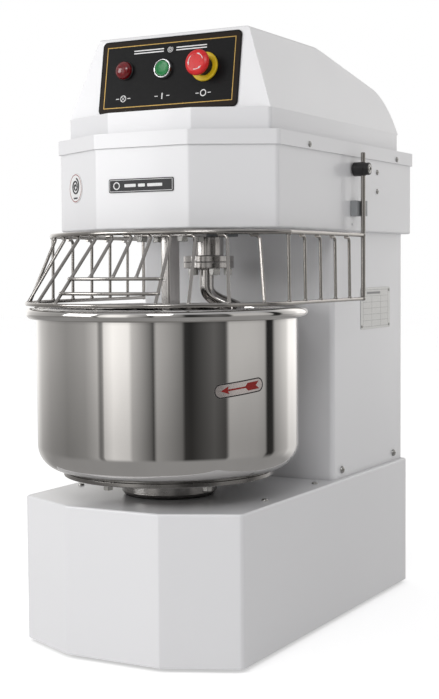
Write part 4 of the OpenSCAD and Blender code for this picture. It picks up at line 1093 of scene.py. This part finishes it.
def make_controls():
    """Lamp, start button and stop button. The barrels pass through the plate to their lock nuts behind it."""
    barrel, bore, stem, behind = 10.9, 5.6, 5, -30
    turn_on_face("lamp_body", "lamp_holder", "black_plastic",
                 [(0, -32), (barrel, -32), (barrel, 0), (14.5, 0), (14.5, 1.6), (13, 2.4), (0, 2.4)],
                 [0, 1, 0, 0.3, 0.8, 0.5, 0])
    make_lens()
    turn_on_face("start_ring", "start_bezel", "bezel_chrome",
                 [(bore, behind), (barrel, behind), (barrel, 0), (16, 0), (16, 2.4), (14.8, 5.8), (13.8, 7),
                  (12.7, 6.4), (12.1, 4.6), (12.1, 0.6), (bore, 0.6)],
                 [0, 1, 0, 0.4, 0.9, 1.2, 0.8, 0.8, 0.5, 0, 0], 96)
    cap = centre_on_face("start_button")[2] / MM
    turn_on_face("start_cap", "start_button", "button_green",
                 [(0, -23), (stem, -23), (stem, 4.2), (11.9, 4.2), (11.9, cap - 0.2), (10.2, cap - 0.2),
                  (7, cap - 1.1), (0, cap - 1.4)],
                 [0, 0.8, 0, 0.4, 1.2, 0.6, 4, 0], 72, body="start_button")
    turn_on_face("stop_collar", "stop_base", "stop_yellow",
                 [(bore, behind), (barrel, behind), (barrel, 0), (22.5, 0), (22.5, 2.8), (21, 4), (15.4, 4),
                  (14.4, 2.2), (bore, 2.2)],
                 [0, 1, 0, 0.5, 1, 0.8, 0.8, 0.6, 0], 96)
    # The neck is black plastic, and its black also stands in for the shade that the mushroom casts inside the
    # yellow collar.
    turn_on_face("stop_neck", "stop_base", "stop_yellow",
                 [(bore, 2.1), (14, 2.1), (13, 5), (12, 12), (bore, 12)], [0, 0.4, 2, 1, 0], 72,
                 "black_plastic")
    top = centre_on_face("stop_button")[2] / MM
    under = top - 12
    turn_on_face("stop_mushroom", "stop_button", "stop_red",
                 [(0, -19), (stem, -19), (stem, under - 0.5), (9, under), (16.6, under), (19.4, under + 3.6),
                  (20, under + 6.4), (18.6, top - 2.6), (14.5, top - 0.5), (0, top)],
                 [0, 0.8, 0, 1, 1, 2, 2.4, 3, 5, 0], 96, body="stop_button")
    make_turn_arrows(top)


# ---------- plates, badge, gland and feet ----------

def make_nameplate():
    """Blank bordered plate with a ring and plain bars in place of lettering."""
    low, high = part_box("nameplate")
    thick, wide, tall = high.y - low.y, high.x - low.x, high.z - low.z
    place = Matrix.Translation(((low.x + high.x) / 2, high.y, (low.z + high.z) / 2))
    place = place @ Matrix.Rotation(math.radians(90), 4, "X")
    body = slab(bmesh.new(), rounded(rectangle(wide, tall), 2.4 * MM, 5, True), 0, thick, place, 0.35 * MM)
    finish_piece("nameplate_body", body, "label_metal", "nameplate", "dark_ink")
    ink = bmesh.new()
    print_on = (thick - 0.05 * MM, thick + 0.12 * MM, place)
    ribbon(ink, rounded(rectangle(wide - 3.6 * MM, tall - 3.6 * MM), 1.4 * MM, 4, True), 0.7 * MM, *print_on)
    ribbon(ink, circle(5 * MM, (-wide / 2 + 14 * MM, 0)), 1.6 * MM, *print_on)
    for start, long in ((28, 20), (52, 12), (68, 26)):
        middle = (-wide / 2 + start * MM + long / 2 * MM, 0)
        slab(ink, rounded(rectangle(long * MM, 4.6 * MM, middle), 1 * MM, 3, True), *print_on)
    finish_piece("nameplate_print", ink, "label_metal", ink="white_ink")


def make_badge():
    """Round sticker with a thin ring, a spiral and a bar."""
    low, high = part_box("round_badge")
    up = Vector((0, 0, 1))
    out = max(NODES["round_badge"].data.polygons, key=lambda face: face.area).normal.copy()
    if out.y > 0:
        out.negate()
    turn = Matrix((up.cross(out), up, out)).transposed().to_4x4()
    place = Matrix.Translation((low + high) / 2) @ turn
    face, raised = 0.45 * MM, 0.6 * MM
    disc = slab(bmesh.new(), circle(23 * MM, steps=72), -0.5 * MM, 0.5 * MM, place, 0.2 * MM)
    finish_piece("badge_disc", disc, "label_metal", "round_badge", "white_ink")
    ring = ribbon(bmesh.new(), circle(21 * MM, steps=72), 1.1 * MM, face, raised, place)
    finish_piece("badge_ring", ring, "label_metal", ink="red_ink")
    mark = flat_spiral(bmesh.new(), place, 2.5 * MM, face, 1.5, 11.5, 2.2, 64, 1.3 * MM)
    slab(mark, rectangle(14 * MM, 2.6 * MM, (0, -15.5 * MM)), face, raised, place)
    finish_piece("badge_mark", mark, "label_metal", ink="dark_ink")


def make_rating_plate():
    """Foil plate with an empty ruled table, fixed by four rivets."""
    low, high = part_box("rating_plate")
    thick, wide, tall = high - low
    middle = (low + high) / 2
    turn = Matrix(((0, 1, 0), (0, 0, 1), (1, 0, 0))).transposed().to_4x4()
    place = Matrix.Translation((low.x, middle.y, middle.z)) @ turn
    body = slab(bmesh.new(), rounded(rectangle(wide, tall), 3 * MM, 5, True), 0, thick, place, 0.2 * MM)
    finish_piece("rating_plate_body", body, "label_metal", "rating_plate")
    rules = bmesh.new()
    print_on = (thick - 0.05 * MM, thick + 0.06 * MM, place)
    table_w, table_h, rows, line = wide - 20 * MM, tall - 8 * MM, 6, 0.45 * MM
    ribbon(rules, rectangle(table_w, table_h), 0.5 * MM, *print_on)
    for k in range(1, rows):
        slab(rules, rectangle(table_w, line, (0, table_h * (k / rows - 0.5))), *print_on)
    for x in (-18 * MM, 22 * MM):
        slab(rules, rectangle(line, table_h * (1 - 1 / rows), (x, -table_h / rows / 2)), *print_on)
    slab(rules, rectangle(60 * MM, 4 * MM, (-10 * MM, table_h * (0.5 - 0.5 / rows))), *print_on)
    finish_piece("rating_plate_rules", rules, "label_metal", ink="grey_ink")
    rivets = bmesh.new()
    for low, high in solids("rating_plate_rivets"):
        middle = (low + high) / 2
        seat = facing((high.x - 1 * MM, middle.y, middle.z), (1, 0, 0))
        turned(rivets, [(0, 0), (2.6 * MM, 0), (2.55 * MM, 0.35 * MM), (2.1 * MM, 0.75 * MM),
                        (1.2 * MM, 0.98 * MM), (0, 1.05 * MM)], seat, 28)
    finish_piece("rating_plate_rivet_heads", rivets, "zinc_fasteners", "rating_plate_rivets")


def make_gland():
    """Cable gland at the rear: lock nut, body, domed clamping nut with grips and its rubber insert."""
    low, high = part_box("cable_gland")
    middle = (low + high) / 2
    long = high.y - low.y
    wall, bore, neck = 10 * MM, 4.5 * MM, 8 * MM
    nut, grip = hexagon(24 * MM), hexagon(22 * MM)

    def ribbed(angle):
        return (9.4 + 0.35 * math.cos(18 * angle)) * MM

    shape = turned(bmesh.new(), [
        (bore, 0), (10.5 * MM, 0), (nut, 0.8 * MM), (nut, 6.8 * MM), (neck, 7 * MM), (neck, wall),
        (10.2 * MM, wall), (grip, wall + 0.6 * MM), (grip, wall + 5.6 * MM), (9.6 * MM, wall + 6 * MM),
        (ribbed, wall + 6.6 * MM), (ribbed, wall + 10.2 * MM), (8.4 * MM, long - 0.9 * MM),
        (7.4 * MM, long), (6.2 * MM, long), (bore + 0.4 * MM, long - 1.4 * MM), (bore, long - 2 * MM)],
        facing((middle.x, low.y, middle.z), (0, 1, 0)), 72, closed=True)
    finish_piece("cable_gland_body", shape, "black_plastic", "cable_gland", crisp=30)


def make_feet():
    """Rubber feet with two moulded rings and a rounded tread."""
    shape = bmesh.new()
    bore = 5.05 * MM
    for low, high in solids("feet"):
        tall = high.z - low.z
        wide = (high.x - low.x) / 2
        turned(shape, rounded(
            [(bore, 4 * MM), (bore + 2 * MM, 0), (wide - 1.5 * MM, 0), (wide, 1.6 * MM),
             (wide - 0.8 * MM, 4 * MM), (wide - 1.8 * MM, 4.6 * MM), (wide - 1.6 * MM, 5.8 * MM),
             (wide - 2.6 * MM, 6.6 * MM), (wide - 4 * MM, tall), (bore, tall)],
            [0, 0, 1 * MM, 1 * MM, 0.3 * MM, 0.3 * MM, 0.3 * MM, 0.3 * MM, 0.6 * MM, 0], 3),
            Matrix.Translation(((low.x + high.x) / 2, (low.y + high.y) / 2, low.z)), 48, closed=True)
    finish_piece("rubber_feet", shape, "foot_rubber", "feet")


# ---------- what stays as the CAD has it ----------

def paint_cad_nodes():
    """Gives each node that is still shown its slot's material and eased edges."""
    for name, node in NODES.items():
        if node.hide_render:
            continue
        for slot in node.material_slots:
            slot.material = PAINTS[SLOT_OF[name]]
        weld = node.modifiers.new("join corners", "WELD")
        weld.merge_threshold = 1e-5
        soft = node.modifiers.new("eased edges", "BEVEL")
        soft.width = 0.4 * MM
        soft.segments = 2
        soft.limit_method = "ANGLE"
        soft.angle_limit = math.radians(40)
        soft.harden_normals = True


make_camera()
make_studio()
make_lights()
PAINTS = make_paints()
make_floor()
FACE = face_place()
make_shells()
make_louvres()
make_fasteners()
make_bowl()
make_turntable()
make_direction_sticker()
make_guard()
make_hubs()
make_hook()
make_plate()
make_controls()
make_nameplate()
make_badge()
make_rating_plate()
make_gland()
make_feet()
paint_cad_nodes()

bpy.context.scene.view_settings.view_transform = "Standard"
